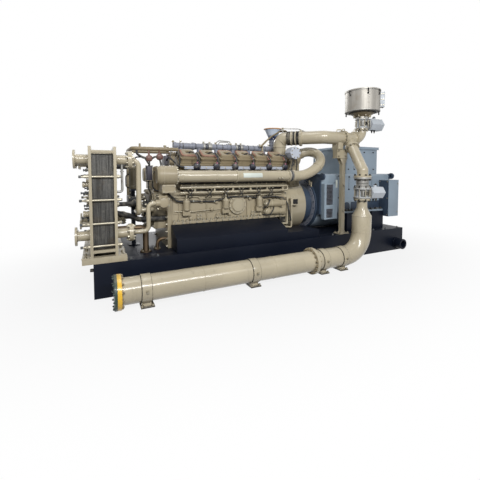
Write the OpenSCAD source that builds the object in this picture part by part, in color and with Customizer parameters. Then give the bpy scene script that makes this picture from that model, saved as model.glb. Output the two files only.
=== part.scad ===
// Gas engine generator set on a steel skid: a V12 gas engine, its generator,
// two plate heat exchangers, the gas train beside the skid and the air filter.
// Millimetres, +Z up. The origin is the centre of the skid's underside and +X
// runs from the heat exchangers to the generator. The near side is -Y.

/* [Skid] */
// Length of the skid
skid_len = 5050; // [4900:10:5300]
// Width of the skid over the girder webs
skid_w = 1600; // [1560:10:1700]
// Height of the skid
skid_h = 390; // [350:5:430]
// Width of a girder flange
flange_w = 180; // [150:5:220]
// Thickness of a girder flange
flange_t = 30; // [20:1:36]
// Thickness of a girder web
web_t = 20; // [12:1:28]
// Width of a cross member
cross_w = 160; // [120:5:200]
// Thickness of the deck plates
deck_t = 12; // [8:1:20]
// Radius of the lifting trunnions
trunnion_r = 90; // [75:1:100]
// Bore radius of the lifting trunnions
trunnion_bore = 58; // [45:1:65]
// Radius of the anchor holes in the bottom flanges
anchor_r = 13; // [9:1:16]

/* [Engine block] */
// Height of the crankshaft above the skid
crank_up = 456; // [450:2:490]
// Distance between cylinders along one bank
cyl_pitch = 280; // [270:2:286]
// Tilt of each bank from the vertical
bank_tilt = 25; // [23:1:27]
// Distance of the first cylinder from the middle of the skid
cyl1_x = -1350; // [-1380:5:-1330]
// Half width of the crankcase
block_half = 420; // [405:5:430]
// Width of the crankcase foot beyond the wall
foot_out = 40; // [20:5:50]
// Depth of the crankcase below the crankshaft
block_drop = 146; // [120:2:160]
// Distance from the crankshaft to the head deck
deck_d = 640; // [620:5:660]
// Height of a cylinder head
head_h = 150; // [130:2:160]
// Half width of a cylinder head
head_half = 150; // [145:1:156]
// Gap between neighbouring heads
head_gap = 18; // [10:1:30]
// Height of a rocker cover
cover_h = 130; // [110:2:140]
// Half width of a rocker cover
cover_half = 128; // [115:1:135]
// Length of a rocker cover
cover_len = 242; // [220:2:250]

/* [Engine fittings] */
// Distance of an intake tube from the middle plane
tube_y = 600; // [590:5:620]
// Height of an intake tube above the crankshaft
tube_up = 497; // [490:1:510]
// Radius of an intake tube
tube_r = 78; // [70:1:86]
// Radius of an intake cooler housing
cooler_r = 120; // [110:1:128]
// Length of an intake cooler housing
cooler_len = 170; // [140:5:180]
// Radius of the exhaust manifold
manifold_r = 46; // [40:1:56]
// Height of the exhaust manifold above the crankshaft
manifold_up = 940; // [930:2:950]
// Mouth radius of the exhaust outlet
outlet_r = 143; // [130:1:150]
// Radius of the vibration damper
damper_r = 240; // [200:5:260]
// Radius of the flywheel housing
flywheel_r = 430; // [415:5:440]
// Length of the flywheel housing
flywheel_len = 420; // [400:5:440]

/* [Generator] */
// Distance of the generator's front plate from the middle of the skid
gen_x0 = 830; // [820:5:850]
// Length of the generator between the outer faces of its end plates
gen_len = 1670; // [1600:10:1720]
// Half width of the generator
gen_half = 520; // [500:5:540]
// Height of the generator's top above the shaft
gen_top_up = 520; // [500:5:540]
// Depth of the generator's feet below the shaft
gen_foot_down = 146; // [130:2:160]
// Radius of the round lower part of the generator
stator_r = 450; // [430:5:452]
// Length of the terminal box
term_len = 754; // [700:2:800]
// Width of the terminal box
term_w = 900; // [840:10:940]
// Height of the terminal box
term_h = 484; // [440:4:520]
// Width of a generator pedestal
pedestal_w = 180; // [160:5:200]

/* [Heat exchangers] */
// Distance between the cover plates of an exchanger
pack_len = 220; // [200:5:250]
// Thickness of a cover plate
hx_plate_t = 30; // [24:1:36]
// Width of a cover plate
hx_w = 550; // [540:5:560]
// Height of a cover plate
hx_h = 1220; // [1180:10:1260]
// Height of the exchangers' base frame
hx_base_h = 70; // [60:5:90]
// Radius of the exchangers' main ports
port_r = 55; // [48:1:60]
// Flange radius of the main ports
port_flange_r = 104; // [98:1:110]
// Radius of the tie rods
rod_r = 12; // [9:1:14]

/* [Gas train] */
// Distance of the gas pipe from the middle plane
gas_y = 1180; // [1170:5:1220]
// Height of the gas pipe's middle above the floor
gas_z = 186; // [184:1:200]
// Outer radius of the gas pipe
gas_r = 138; // [125:1:140]
// Flange radius of the gas pipe
gas_flange_r = 180; // [176:1:182]
// Bolt circle diameter of the gas inlet flange
gas_pcd = 322; // [318:1:324]
// Radius of the bolt holes in the gas inlet flange
gas_hole_r = 10; // [8:0.5:11]
// Bend radius of the gas elbow
gas_bend = 330; // [320:5:350]
// Place of the riser along the skid
riser_x = 1072; // [1060:2:1090]
// Distance of the mixture pipe from the middle plane
mix_y = 700; // [690:5:720]
// Height of the mixture pipe above the floor
mix_z = 1945; // [1930:5:1970]
// Radius of the mixture pipe
mix_r = 102; // [95:1:108]
// Radius of the air filter drum
filter_r = 275; // [250:5:290]
// Height of the air filter drum
filter_h = 355; // [320:5:380]

/* [Hidden] */
$fn = 96;
// Clearance of parts that seat on a curved face
seat = 0.3;
// Gap between two lengths of a pipe inside a weld collar
weld_gap = 6;
crank_z = skid_h + crank_up;
block_x0 = cyl1_x - 235;
block_x1 = cyl1_x + 5 * cyl_pitch + 150;
block_z0 = crank_z - block_drop;
tube_z = crank_z + tube_up;
girder_y = skid_w / 2;
inner_y = girder_y - flange_w;
deck_z = skid_h - deck_t;
gen_x1 = gen_x0 + gen_len;
gen_plate_t = 30;
gen_top = crank_z + gen_top_up;
gen_z0 = crank_z - gen_foot_down;
hx_z0 = skid_h + hx_base_h;
hx_x1 = -2270;
hx_x0 = hx_x1 - pack_len - 2 * hx_plate_t;
hx_out = girder_y - 5;
hx_y = hx_out - hx_w / 2;
hx_window = 280;
port_y = hx_y + 120;
port_zs = [hx_z0 + 225, hx_z0 + 1080];
port_out = 150;
port_flange_t = 22;
bar_out = hx_w / 2 - 25;
rod_in = 20;
rod_zs = [hx_z0 + 123, hx_z0 + 371, hx_z0 + 630, hx_z0 + 889];
plate_x = block_x0 - 60;
case_x = plate_x - 155;
case_z1 = crank_z + 284;

// Directions and places
function unit(v) = v / norm(v);
function side_of(d) = abs(d.z) > 0.99 ? [1, 0, 0] : unit(cross([0, 0, 1], d));
function bend_end(p, d, n, br, a) = p + br * (sin(a) * d + (1 - cos(a)) * n);
function bend_dir(d, n, a) = cos(a) * d + sin(a) * n;
function bank_point(s, d, t) =
    [0, s * (sin(bank_tilt) * d + cos(bank_tilt) * t), crank_z + cos(bank_tilt) * d - sin(bank_tilt) * t];

module axes(p, x, y) {
    z = cross(x, y);
    multmatrix([[x.x, y.x, z.x, p.x], [x.y, y.y, z.y, p.y], [x.z, y.z, z.z, p.z]]) children();
}
// A straight pipe from p along the direction d
module run(p, d, len, r) {
    s = side_of(d);
    axes(p, s, cross(d, s)) cylinder(h = len, r = r);
}
// A bent pipe from p along d, turning towards n by the angle a
module bend(p, d, n, br, a, r) {
    axes(p + br * n, -n, d) rotate_extrude(angle = a) translate([br, 0]) circle(r = r);
}
// A weld collar around the gap between two lengths of a pipe
module weld(p, d, r) {
    run(p - 2 * weld_gap * d, d, 4 * weld_gap, r + 5);
}
module box(x, y, z) {
    translate([x[0], y[0], z[0]]) cube([x[1] - x[0], y[1] - y[0], z[1] - z[0]]);
}
module both_sides() {
    children();
    mirror([0, 1, 0]) children();
}
// An outline in Y and Z, drawn out along X
module along_x(x0, len) {
    translate([x0, 0, 0]) rotate([90, 0, 90]) linear_extrude(len) children();
}
// A place on the near bank: x along the engine, then up the bank
module on_bank(x, d) {
    translate([x, 0, crank_z]) rotate([bank_tilt, 0, 0]) translate([0, 0, d]) children();
}

module skid_girders() {
    color("#151c26") both_sides() difference() {
        along_x(-skid_len / 2, skid_len) difference() {
            translate([-girder_y, 0]) square([flange_w, skid_h]);
            translate([-girder_y + web_t, flange_t]) square([flange_w, skid_h - 2 * flange_t]);
        }
        for (x = [-1, 1]) translate([x * (skid_len / 2 - 225), -girder_y + flange_w / 2, -1])
            cylinder(h = flange_t + 2, r = anchor_r);
    }
}

cross_xs = [for (i = [-2:2]) i * (skid_len - cross_w) / 4];
module skid_cross_members() {
    color("#151c26") for (x = cross_xs)
        box([x - cross_w / 2, x + cross_w / 2], [-inner_y, inner_y], [0, deck_z]);
}

module deck_plates() {
    color("#1d2530") box([-skid_len / 2, skid_len / 2], [-inner_y, inner_y], [deck_z, skid_h]);
}

trunnion_x = skid_len / 2 - 165;
trunnion_z = 128;
trunnion_out = 140;
module lifting_trunnions() {
    color("#151c26") both_sides() translate([trunnion_x, -girder_y, trunnion_z]) rotate([90, 0, 0])
        difference() {
            cylinder(h = trunnion_out, r = trunnion_r);
            translate([0, 0, 20]) cylinder(h = trunnion_out, r = trunnion_bore);
        }
}

pedestal_x1 = 620;
module engine_pedestals() {
    color("#141a24") both_sides() {
        along_x(block_x0 - 15, block_x1 - 150 - block_x0) polygon([
            [-girder_y + 30, skid_h], [-girder_y + 30, skid_h + 170],
            [-block_half - foot_out, block_z0], [-block_half + 70, block_z0],
            [-block_half + 70, skid_h]]);
        box([block_x1 - 165, pedestal_x1], [-girder_y + 30, -block_half + 70], [skid_h, skid_h + 120]);
    }
}

gen_foot_out = 100;
ped_xs = [gen_x0 + 490, gen_x1 - 590];
ped_lens = [165, 290];
module generator_pedestals() {
    color("#151c26") both_sides() for (i = [0, 1])
        box([ped_xs[i], ped_xs[i] + ped_lens[i]], [-gen_half - gen_foot_out - 20, -gen_half - gen_foot_out - 20 + pedestal_w],
            [skid_h, gen_z0]);
}

module oil_pan() {
    color("#1b222c") box([block_x0 + 20, block_x1 - 20], [-block_half + 90, block_half - 90],
        [skid_h + 40, block_z0]);
}

valley_z = bank_point(-1, deck_d, -head_half - 8).z - 90;
module crankcase() {
    outer = bank_point(-1, deck_d, head_half + 8);
    inner = bank_point(-1, deck_d, -head_half - 8);
    color("#b9ad92") along_x(block_x0, block_x1 - block_x0) {
        near = [[-block_half - foot_out, block_z0], [-block_half - foot_out, block_z0 + 35],
            [-block_half, block_z0 + 35], [-block_half, outer.z - 40], [outer.y, outer.z],
            [inner.y, inner.z], [-55, valley_z]];
        polygon(concat(near, [for (i = [len(near) - 1:-1:0]) [-near[i].x, near[i].y]]));
    }
}

door_x = cyl1_x + 2.57 * cyl_pitch;
pot_xs = [cyl1_x - 50, cyl1_x + 1.85 * cyl_pitch, cyl1_x + 3.8 * cyl_pitch];
module crankcase_covers() {
    color("#c3b79a") both_sides() {
        translate([door_x, -block_half, crank_z + 76]) rotate([90, 0, 0]) {
            cylinder(h = 26, r = 132);
            cylinder(h = 46, r = 104);
        }
        for (x = pot_xs) translate([x, -block_half, 0]) {
            box([-52, 52], [-70, 0], [crank_z - 30, crank_z + 40]);
            translate([0, -62, crank_z + 40]) cylinder(h = 110, r = 46);
        }
        for (i = [0, 1, 3]) translate([cyl1_x + (i + 0.5) * cyl_pitch, -block_half, crank_z - 62])
            rotate([90, 0, 0]) cylinder(h = 16, r = 42);
    }
}

module front_gear_cover() {
    color("#a89d84") {
        box([plate_x, block_x0], [-block_half - 20, block_half + 20], [skid_h, case_z1]);
        along_x(case_x, plate_x - case_x) polygon([[-330, crank_z - 200], [330, crank_z - 200],
            [330, case_z1 - 90], [240, case_z1], [-330, case_z1]]);
    }
}

module vibration_damper() {
    color("#2a2f36") translate([case_x, 0, crank_z]) rotate([0, -90, 0]) {
        cylinder(h = 24, r = 90);
        translate([0, 0, 24]) cylinder(h = 46, r = damper_r);
        translate([0, 0, 70]) cylinder(h = 26, r = 78);
    }
}

pump_y = 535;
pump_z = crank_z + 172;
pump_r = 112;
module water_pump() {
    color("#b0a589") both_sides() {
        translate([plate_x - 135, -pump_y, pump_z]) rotate([0, 90, 0]) cylinder(h = 95, r = pump_r);
        translate([plate_x - 185, -port_y, pump_z]) rotate([0, 90, 0]) cylinder(h = 51, r = 40);
        box([plate_x - 41, plate_x], [-pump_y - 40, -345], [pump_z - 60, pump_z + 55]);
    }
}

starter_x = block_x1 - 380;
module starter_motors() {
    color("#a79c82") both_sides() {
        for (z = [crank_z + 75, crank_z - 45]) {
            translate([starter_x, -block_half - 62, z]) rotate([0, 90, 0]) cylinder(h = 330, r = 52);
            translate([starter_x + 40, -block_half - 62, z + 40]) rotate([0, 90, 0]) cylinder(h = 180, r = 27);
        }
        box([starter_x + 270, starter_x + 345], [-block_half - 100, -block_half], [crank_z - 90, crank_z + 120]);
    }
}

cyl_xs = [for (i = [0:5]) cyl1_x + i * cyl_pitch];
head_len = cyl_pitch - head_gap;
module cylinder_heads() {
    color("#a39980") both_sides() for (x = cyl_xs) on_bank(x, deck_d) {
        box([-head_len / 2, head_len / 2], [-head_half, head_half], [0, head_h]);
    }
}

module rocker_covers() {
    color("#a89d84") both_sides() for (x = cyl_xs) on_bank(x, deck_d + head_h) difference() {
        union() {
            box([-cover_len / 2, cover_len / 2], [-cover_half, cover_half], [0, 34]);
            along_x(-cover_len / 2 + 10, cover_len - 20) polygon([[-cover_half + 10, 34],
                [-cover_half + 34, cover_h], [cover_half - 34, cover_h], [cover_half - 10, 34]]);
        }
        translate([10, -18, cover_h - 26]) cylinder(h = 40, r = 48);
    }
}

// Length of a runner from the tube's middle to the side of the head
runner_len = tube_y * cos(bank_tilt) - tube_up * sin(bank_tilt) - head_half;
tube_x0 = block_x0 + 17;
tube_x1 = block_x1 + 30;
module intake_manifolds() {
    color("#c8bb9b") both_sides() {
        run([tube_x0, -tube_y, tube_z], [1, 0, 0], tube_x1 - tube_x0, tube_r);
        for (x = cyl_xs) run([x, -tube_y, tube_z], [0, cos(bank_tilt), sin(bank_tilt)], runner_len, 45);
        for (x = [tube_x0 + 830, tube_x1 - 100, tube_x1 - 22])
            run([x, -tube_y, tube_z], [1, 0, 0], 22, tube_r + 10);
    }
}

module intake_coolers() {
    color("#c3b698") both_sides() {
        run([tube_x0 - cooler_len, -tube_y, tube_z + 15], [1, 0, 0], cooler_len, cooler_r);
        intersection() {
            translate([tube_x0 - cooler_len, -tube_y, tube_z + 15]) sphere(r = cooler_r);
            box([tube_x0 - cooler_len - 70, tube_x0 - cooler_len], [-tube_y - 200, -tube_y + 200],
                [tube_z - 200, tube_z + 200]);
        }
        box([tube_x0 - cooler_len - 15, tube_x0 - 20], [-tube_y - 70, -block_half - 10],
            [tube_z - 205, tube_z - 100]);
        box([tube_x0 - cooler_len + 20, block_x0], [-block_half - 12, -block_half + 110],
            [case_z1, tube_z - 60]);
    }
}

// The charge air tube climbs, then curls back over the housing to the middle
charge_start = [320, -tube_y, tube_z];
charge_climb = 40;
charge_climb_r = 600;
charge_curl = 150;
charge_curl_r = 218;
charge_p1 = bend_end(charge_start, [1, 0, 0], [0, 0, 1], charge_climb_r, charge_climb);
charge_d1 = bend_dir([1, 0, 0], [0, 0, 1], charge_climb);
charge_to = [0, cos(38), sin(38)];
charge_n = unit(charge_to - (charge_to * charge_d1) * charge_d1);
charge_p2 = bend_end(charge_p1 + weld_gap * charge_d1, charge_d1, charge_n, charge_curl_r, charge_curl);
charge_d2 = bend_dir(charge_d1, charge_n, charge_curl);
module charge_air_tubes() {
    color("#c8bb9b") both_sides() {
        run([tube_x1, -tube_y, tube_z], [1, 0, 0], 22, tube_r + 10);
        run([tube_x1, -tube_y, tube_z], [1, 0, 0], charge_start.x - tube_x1, tube_r);
        bend(charge_start, [1, 0, 0], [0, 0, 1], charge_climb_r, charge_climb, tube_r);
        weld(charge_p1 + weld_gap / 2 * charge_d1, charge_d1, tube_r);
        bend(charge_p1 + weld_gap * charge_d1, charge_d1, charge_n, charge_curl_r, charge_curl, tube_r);
    }
}

drop_x = 245;
drop_y = 200;
drop_bend = 150;
drop_run = 24;
entry_bend = 106;
plenum_x = drop_x + entry_bend + 4;
plenum_z = mix_z - drop_bend - drop_run - entry_bend;
turbo_x1 = 600;
module turbo_housing() {
    color("#b5a98c") {
        box([plenum_x, plenum_x + 70], [-310, 310], [plenum_z - 90, plenum_z + 90]);
        both_sides() {
            run([plenum_x, -185, plenum_z - 30], [1, 0, 0], turbo_x1 - plenum_x, 105);
            run([turbo_x1 - 110, -185, plenum_z - 30], [1, 0, 0], 100, 135);
            run(charge_p2, charge_d2, 110, tube_r + 8);
        }
        difference() {
            box([plenum_x + 40, turbo_x1 - 20], [-285, 285], [crank_z + 100, plenum_z - 90]);
            run([0, 0, crank_z], [1, 0, 0], 2000, flywheel_r + seat);
        }
    }
}

rail_y = block_half + 96;
rail_z = crank_z + 349;
rail_gap = 70;
module side_rails() {
    color("#cfc3a4") both_sides() {
        run([block_x0 + 90, -rail_y, rail_z], [1, 0, 0], block_x1 - block_x0 - 130, 22);
        run([block_x0 + 90, -rail_y, rail_z - rail_gap], [1, 0, 0], block_x1 - block_x0 - 130, 14);
        bend([block_x1 - 41, -rail_y, rail_z], [1, 0, 0], [0, 0, -1], rail_gap / 2, 180, 14);
        for (x = cyl_xs) box([x + 48, x + 72], [-rail_y, -block_half], [rail_z - rail_gap - 18, rail_z + 14]);
    }
}

manifold_z = crank_z + manifold_up;
outlet_x = 235;
outlet_z = manifold_z + 154;
ignition_z = tube_z + 116;
ignition_y = tube_y - 116;
// How far out a cylinder head's side stands at a height
function head_side(z) = let (p = bank_point(-1, deck_d, head_half)) p.y - (z - p.z) * tan(bank_tilt);
module ignition_rails() {
    color("#969cac") both_sides() {
        box([cyl1_x - 82, cyl1_x + 5 * cyl_pitch + 112], [-ignition_y - 36, -ignition_y],
            [ignition_z - 20, ignition_z + 20]);
        for (x = cyl_xs, low = ignition_z - 12, high = ignition_z + 8) along_x(x - 74, 24) polygon([
            [-ignition_y - 4, low], [head_side(low), low], [head_side(high), high], [-ignition_y - 4, high]]);
    }
}

module exhaust_manifold() {
    color("#8f95a3") {
        run([cyl1_x - 95, 0, manifold_z], [1, 0, 0], outlet_x + 65 - (cyl1_x - 95), manifold_r);
        for (x = cyl_xs) {
            translate([x, 0, valley_z]) cylinder(h = manifold_z - valley_z, r = 34);
            run([x - 110, 0, manifold_z], [1, 0, 0], 34, manifold_r + 9);
        }
        translate([outlet_x, 0, manifold_z]) cylinder(h = outlet_z - manifold_z, r = 60);
    }
}

outlet_h = 190;
module exhaust_outlet() {
    color("#8f95a3") translate([outlet_x, 0, outlet_z]) rotate_extrude() polygon([
        [0, 0], [76, 0], [76, 16], [62, 16], [outlet_r - 6, outlet_h - 12], [outlet_r + 10, outlet_h - 12],
        [outlet_r + 10, outlet_h], [outlet_r - 14, outlet_h], [52, 24], [0, 24]]);
}

cross_pipe_x = cyl1_x - cover_len / 2 + 10;
cross_pipe_z = crank_z + 859;
cross_pipe_len = 535;
module water_crossover() {
    color("#c3b79a") both_sides() {
        run([cross_pipe_x, -300, cross_pipe_z], [-1, 0, 0], cross_pipe_len, 26);
        bend([cross_pipe_x - cross_pipe_len, -300, cross_pipe_z], [-1, 0, 0], [0, 1, 0], 60, 90, 26);
        run([cross_pipe_x - cross_pipe_len - 60, -240, cross_pipe_z], [0, 1, 0], 240, 26);
        translate([cross_pipe_x - 500, -300, cross_pipe_z]) cylinder(h = 66, r = 12);
        run([cross_pipe_x - 156, -300, cross_pipe_z], [1, 0, 0], 26, 34);
    }
}

module filter_and_control_box() {
    color("#b9ad90") {
        translate([case_x + 60, -250, case_z1]) cylinder(h = 350, r = 50);
        box([case_x - 78, case_x + 22], [-320, -190], [case_z1 + 160, case_z1 + 350]);
    }
    color("#2b3442") box([plate_x + 5, block_x0 - 5], [-300, -60], [case_z1, case_z1 + 490]);
}

module flywheel_housing() {
    color("#c8bb9b") {
        run([block_x1, 0, crank_z], [1, 0, 0], flywheel_len, flywheel_r);
        run([block_x1, 0, crank_z], [1, 0, 0], 34, flywheel_r + 14);
        both_sides() {
            box([block_x1, block_x1 + 26], [-flywheel_r - 62, -flywheel_r + 90], [crank_z - 240, crank_z + 160]);
            box([block_x1 - 120, block_x1 + 26], [-flywheel_r - 62, -block_half - foot_out - 2],
                [crank_z - 262, crank_z - 236]);
        }
    }
}

module generator_bell() {
    color("#33475c") {
        run([block_x1 + flywheel_len, 0, crank_z], [1, 0, 0], gen_x0 - block_x1 - flywheel_len, 350);
        run([gen_x0 - 26, 0, crank_z], [1, 0, 0], 26, stator_r);
    }
}

module generator_body() {
    color("#7d96af") {
        along_x(gen_x0 + gen_plate_t, gen_len - 2 * gen_plate_t) {
            translate([0, crank_z]) circle(r = stator_r);
            polygon([[-gen_half, gen_z0], [-gen_half, gen_top - 24], [-gen_half + 24, gen_top],
                [gen_half - 24, gen_top], [gen_half, gen_top - 24], [gen_half, gen_z0]]);
        }
        both_sides() box([gen_x0 + 460, gen_x1 - 290], [-gen_half - gen_foot_out, -gen_half + 10],
            [gen_z0, gen_z0 + 30]);
    }
}

ear_z = gen_top - 42;
ear_y = gen_half + 44;
ear_r = 56;
module generator_end_plates() {
    color("#5f7891") for (x = [gen_x0, gen_x1 - gen_plate_t]) difference() {
        along_x(x, gen_plate_t) {
            translate([0, crank_z]) circle(r = stator_r);
            translate([-gen_half, gen_z0]) square([2 * gen_half, gen_top_up + gen_foot_down]);
            translate([-ear_y, ear_z - ear_r]) square([2 * ear_y, ear_r]);
            for (s = [-1, 1]) translate([s * ear_y, ear_z]) circle(r = ear_r);
        }
        for (s = [-1, 1]) run([x - 1, s * ear_y, ear_z], [1, 0, 0], gen_plate_t + 2, 20);
    }
}

louvre_out = 80;
module louvre_boxes() {
    color("#7d96af") both_sides() difference() {
        box([gen_x0 + gen_plate_t + 2, gen_x0 + 310], [-gen_half - louvre_out, -gen_half],
            [crank_z - 226, crank_z + 359]);
        for (z = [[crank_z + 10, crank_z + 345], [crank_z - 205, crank_z - 55]])
            box([gen_x0 + 75, gen_x0 + 215], [-gen_half - louvre_out - 1, -gen_half - louvre_out + 24], z);
    }
}

term_x0 = 1476;
module terminal_box() {
    color("#7d96af") {
        box([term_x0, term_x0 + term_len], [-term_w / 2, term_w / 2], [gen_top, gen_top + term_h]);
        box([term_x0 - 22, term_x0 + term_len + 22], [-term_w / 2 - 22, term_w / 2 + 22],
            [gen_top + term_h - 40, gen_top + term_h + 4]);
    }
}

side_box_len = 251;
side_box_x = gen_x1 - gen_plate_t - side_box_len;
side_box_out = 212;
module generator_side_box() {
    color("#7d96af") box([side_box_x, side_box_x + side_box_len], [-gen_half - side_box_out, -gen_half],
        [crank_z - 246, crank_z + 409]);
}

port_hole_r = 9;
port_pcd = 168;
module port(x, dir, y, z, r, fr) {
    run([x, y, z], [dir, 0, 0], port_out, r);
    run([x + dir * (port_out - port_flange_t), y, z], [dir, 0, 0], port_flange_t, fr);
}
module exchanger_frames() {
    color("#cabd9e") both_sides() difference() {
        union() {
            for (x = [hx_x0, hx_x1 - hx_plate_t])
                box([x, x + hx_plate_t], [-hx_y - hx_w / 2, -hx_y + hx_w / 2], [hx_z0, hx_z0 + hx_h]);
            for (z = [hx_z0 + 48, hx_z0 + 1148], s = [-1, 1])
                box([hx_x0, hx_x1], [-hx_y + s * bar_out - 18, -hx_y + s * bar_out + 18], [z, z + 30]);
        }
        for (z = rod_zs, s = [-1, 1]) run([hx_x0 - 1, -hx_y + s * (hx_w / 2 - rod_in), z], [1, 0, 0],
            pack_len + 2 * hx_plate_t + 2, rod_r + 0.5);
    }
}

module exchanger_ports() {
    color("#cabd9e") both_sides() difference() {
        for (z = port_zs) {
            port(hx_x0, -1, -port_y, z, port_r, port_flange_r);
            port(hx_x1, 1, -port_y, z, port_r, port_flange_r);
            port(hx_x0, -1, -2 * hx_y + port_y, z - 34, 36, 66);
        }
        for (z = port_zs) bolt_circle([hx_x0 - port_out - 1, -port_y, z], 8, port_pcd, port_flange_t + 2,
            port_hole_r);
    }
    color("#cabd9e") both_sides() for (z = [hx_z0 + 470, hx_z0 + 800])
        run([hx_x0, -port_y, z], [-1, 0, 0], 66, 30);
}

// Bolt holes on a circle around a pipe that runs along X
module bolt_circle(p, n, pcd, len, r) {
    for (i = [0:n - 1]) translate(p) rotate([(i + 0.5) * 360 / n, 0, 0]) translate([0, 0, pcd / 2])
        rotate([0, 90, 0]) cylinder(h = len, r = r);
}

module exchanger_plate_packs() {
    color("#4a4d4e") both_sides() box([hx_x0 + hx_plate_t, hx_x1 - hx_plate_t],
        [-hx_y - bar_out + 24, -hx_y + bar_out - 24], [hx_z0 + 84, hx_z0 + 1144]);
}

module exchanger_tie_rods() {
    color("#8b8877") both_sides() for (z = rod_zs, s = [-1, 1])
        translate([0, -hx_y + s * (hx_w / 2 - rod_in), z]) {
            run([hx_x0 - 96, 0, 0], [1, 0, 0], pack_len + 2 * hx_plate_t + 150, rod_r);
            for (x = [hx_x0 - 18, hx_x1]) run([x, 0, 0], [1, 0, 0], 18, 20);
        }
}

module exchanger_base() {
    color("#cabd9e") difference() {
        box([hx_x0 - 85, hx_x1 + 80], [-hx_out, hx_out], [skid_h, hx_z0]);
        both_sides() for (y = [-hx_out + 80, -hx_out + 80 + hx_window + 100])
            box([hx_x0 + hx_plate_t + 10, hx_x1 - hx_plate_t - 10], [y, y + hx_window], [skid_h - 1, hx_z0 + 1]);
    }
}

upper_x = hx_x1 + port_out + port_flange_t;
upper_z = port_zs[1];
lower_z = port_zs[0];
thermo_z = crank_z + 54;
thermo_y = 292;
upper_turn = 75;
lower_x = plate_x - 270;
// Plumbing between the heat exchangers and the gear case
stand_x = (hx_x1 + case_x) / 2 + 9;
stand_half = 26;
pump_half = 70;
pump_top = crank_z + 224;
pump_hose_z = pump_top - pump_half;
arm_z = pump_top + 80;
canister_y = -130;
hose_r = 30;
hose_turn = 90;
big_hose_r = 40;
big_hose_turn = 120;
module front_stand() {
    color("#1b222c") {
        box([stand_x - stand_half, stand_x + stand_half], [-34, 18], [skid_h, pump_top - 2 * pump_half]);
        box([stand_x - stand_half - 48, stand_x + stand_half + 48], [-82, 66], [skid_h, skid_h + 12]);
        box([stand_x - stand_half, stand_x + stand_half], [-34, 18], [pump_top, arm_z + 1]);
        box([stand_x - stand_half - 12, stand_x + stand_half + 12], [canister_y - 66, 18], [arm_z, arm_z + 22]);
    }
}

module front_canister() {
    color("#b9ad90") translate([stand_x, canister_y, arm_z + 22]) rotate_extrude() polygon([
        [0, 0], [50, 0], [62, 8], [62, 40], [56, 46], [56, 262], [62, 268], [62, 292],
        [50, 306], [20, 312], [18, 340], [0, 340]]);
}

module front_pump_block() {
    color("#23262a") {
        box([stand_x - pump_half, stand_x + pump_half], [-120, 160], [pump_top - 2 * pump_half, pump_top]);
        run([stand_x, -119, pump_hose_z], [0, -1, 0], 27, 2 * hose_r);
    }
}

upper_hose_y = 400;
upper_hose_z = upper_z - 60;
lower_hose_y = 290;
near_hose_y = 400;
module front_hoses() {
    color("#1c1c1e") {
        run([hx_x1, upper_hose_y, upper_hose_z], [1, 0, 0], stand_x - hx_x1 - big_hose_turn, big_hose_r);
        bend([stand_x - big_hose_turn, upper_hose_y, upper_hose_z], [1, 0, 0], [0, -1, 0],
            big_hose_turn, 90, big_hose_r);
        run([stand_x, upper_hose_y - big_hose_turn, upper_hose_z], [0, -1, 0],
            upper_hose_y - 100 - 2 * big_hose_turn, big_hose_r);
        bend([stand_x, 100 + big_hose_turn, upper_hose_z], [0, -1, 0], [0, 0, -1],
            big_hose_turn, 90, big_hose_r);
        run([stand_x, 100, upper_hose_z - big_hose_turn], [0, 0, -1],
            upper_hose_z - big_hose_turn - pump_top, big_hose_r);
        run([stand_x, 160, pump_hose_z], [0, 1, 0], lower_hose_y - hose_turn - 160, hose_r);
        bend([stand_x, lower_hose_y - hose_turn, pump_hose_z], [0, 1, 0], [1, 0, 0], hose_turn, 90, hose_r);
        run([stand_x + hose_turn, lower_hose_y, pump_hose_z], [1, 0, 0], case_x - stand_x - hose_turn, hose_r);
        run([stand_x, -146, pump_hose_z], [0, -1, 0], near_hose_y - hose_turn - 146, hose_r);
        bend([stand_x, -near_hose_y + hose_turn, pump_hose_z], [0, -1, 0], [-1, 0, 0], hose_turn, 90, hose_r);
        run([stand_x - hose_turn, -near_hose_y, pump_hose_z], [-1, 0, 0], stand_x - hose_turn - hx_x1, hose_r);
    }
}

drain_x = stand_x + 96;
drain_y = -hx_y + 40;
drain_z = lower_z + 19;
drain_turn = 70;
drain_foot = 16;
elbow_x = plate_x - 60 - drain_turn;
elbow_y = -400;
elbow_z = skid_h + 130;
elbow_foot = 12;
module drain_pipes() {
    color("#96704a") {
        run([hx_x1, drain_y, drain_z], [1, 0, 0], drain_x - drain_turn - hx_x1, 36);
        bend([drain_x - drain_turn, drain_y, drain_z], [1, 0, 0], [0, 0, -1], drain_turn, 90, 36);
        run([drain_x, drain_y, drain_z - drain_turn], [0, 0, -1], drain_z - drain_turn - skid_h - drain_foot, 36);
        run([drain_x, drain_y, skid_h], [0, 0, 1], drain_foot, 70);
        run([plate_x, elbow_y, elbow_z], [-1, 0, 0], 60, 22);
        bend([plate_x - 60, elbow_y, elbow_z], [-1, 0, 0], [0, 0, -1], drain_turn, 90, 22);
        run([elbow_x, elbow_y, elbow_z - drain_turn], [0, 0, -1], elbow_z - drain_turn - skid_h - elbow_foot, 22);
        run([elbow_x, elbow_y, skid_h], [0, 0, 1], elbow_foot, 46);
    }
}

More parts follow.
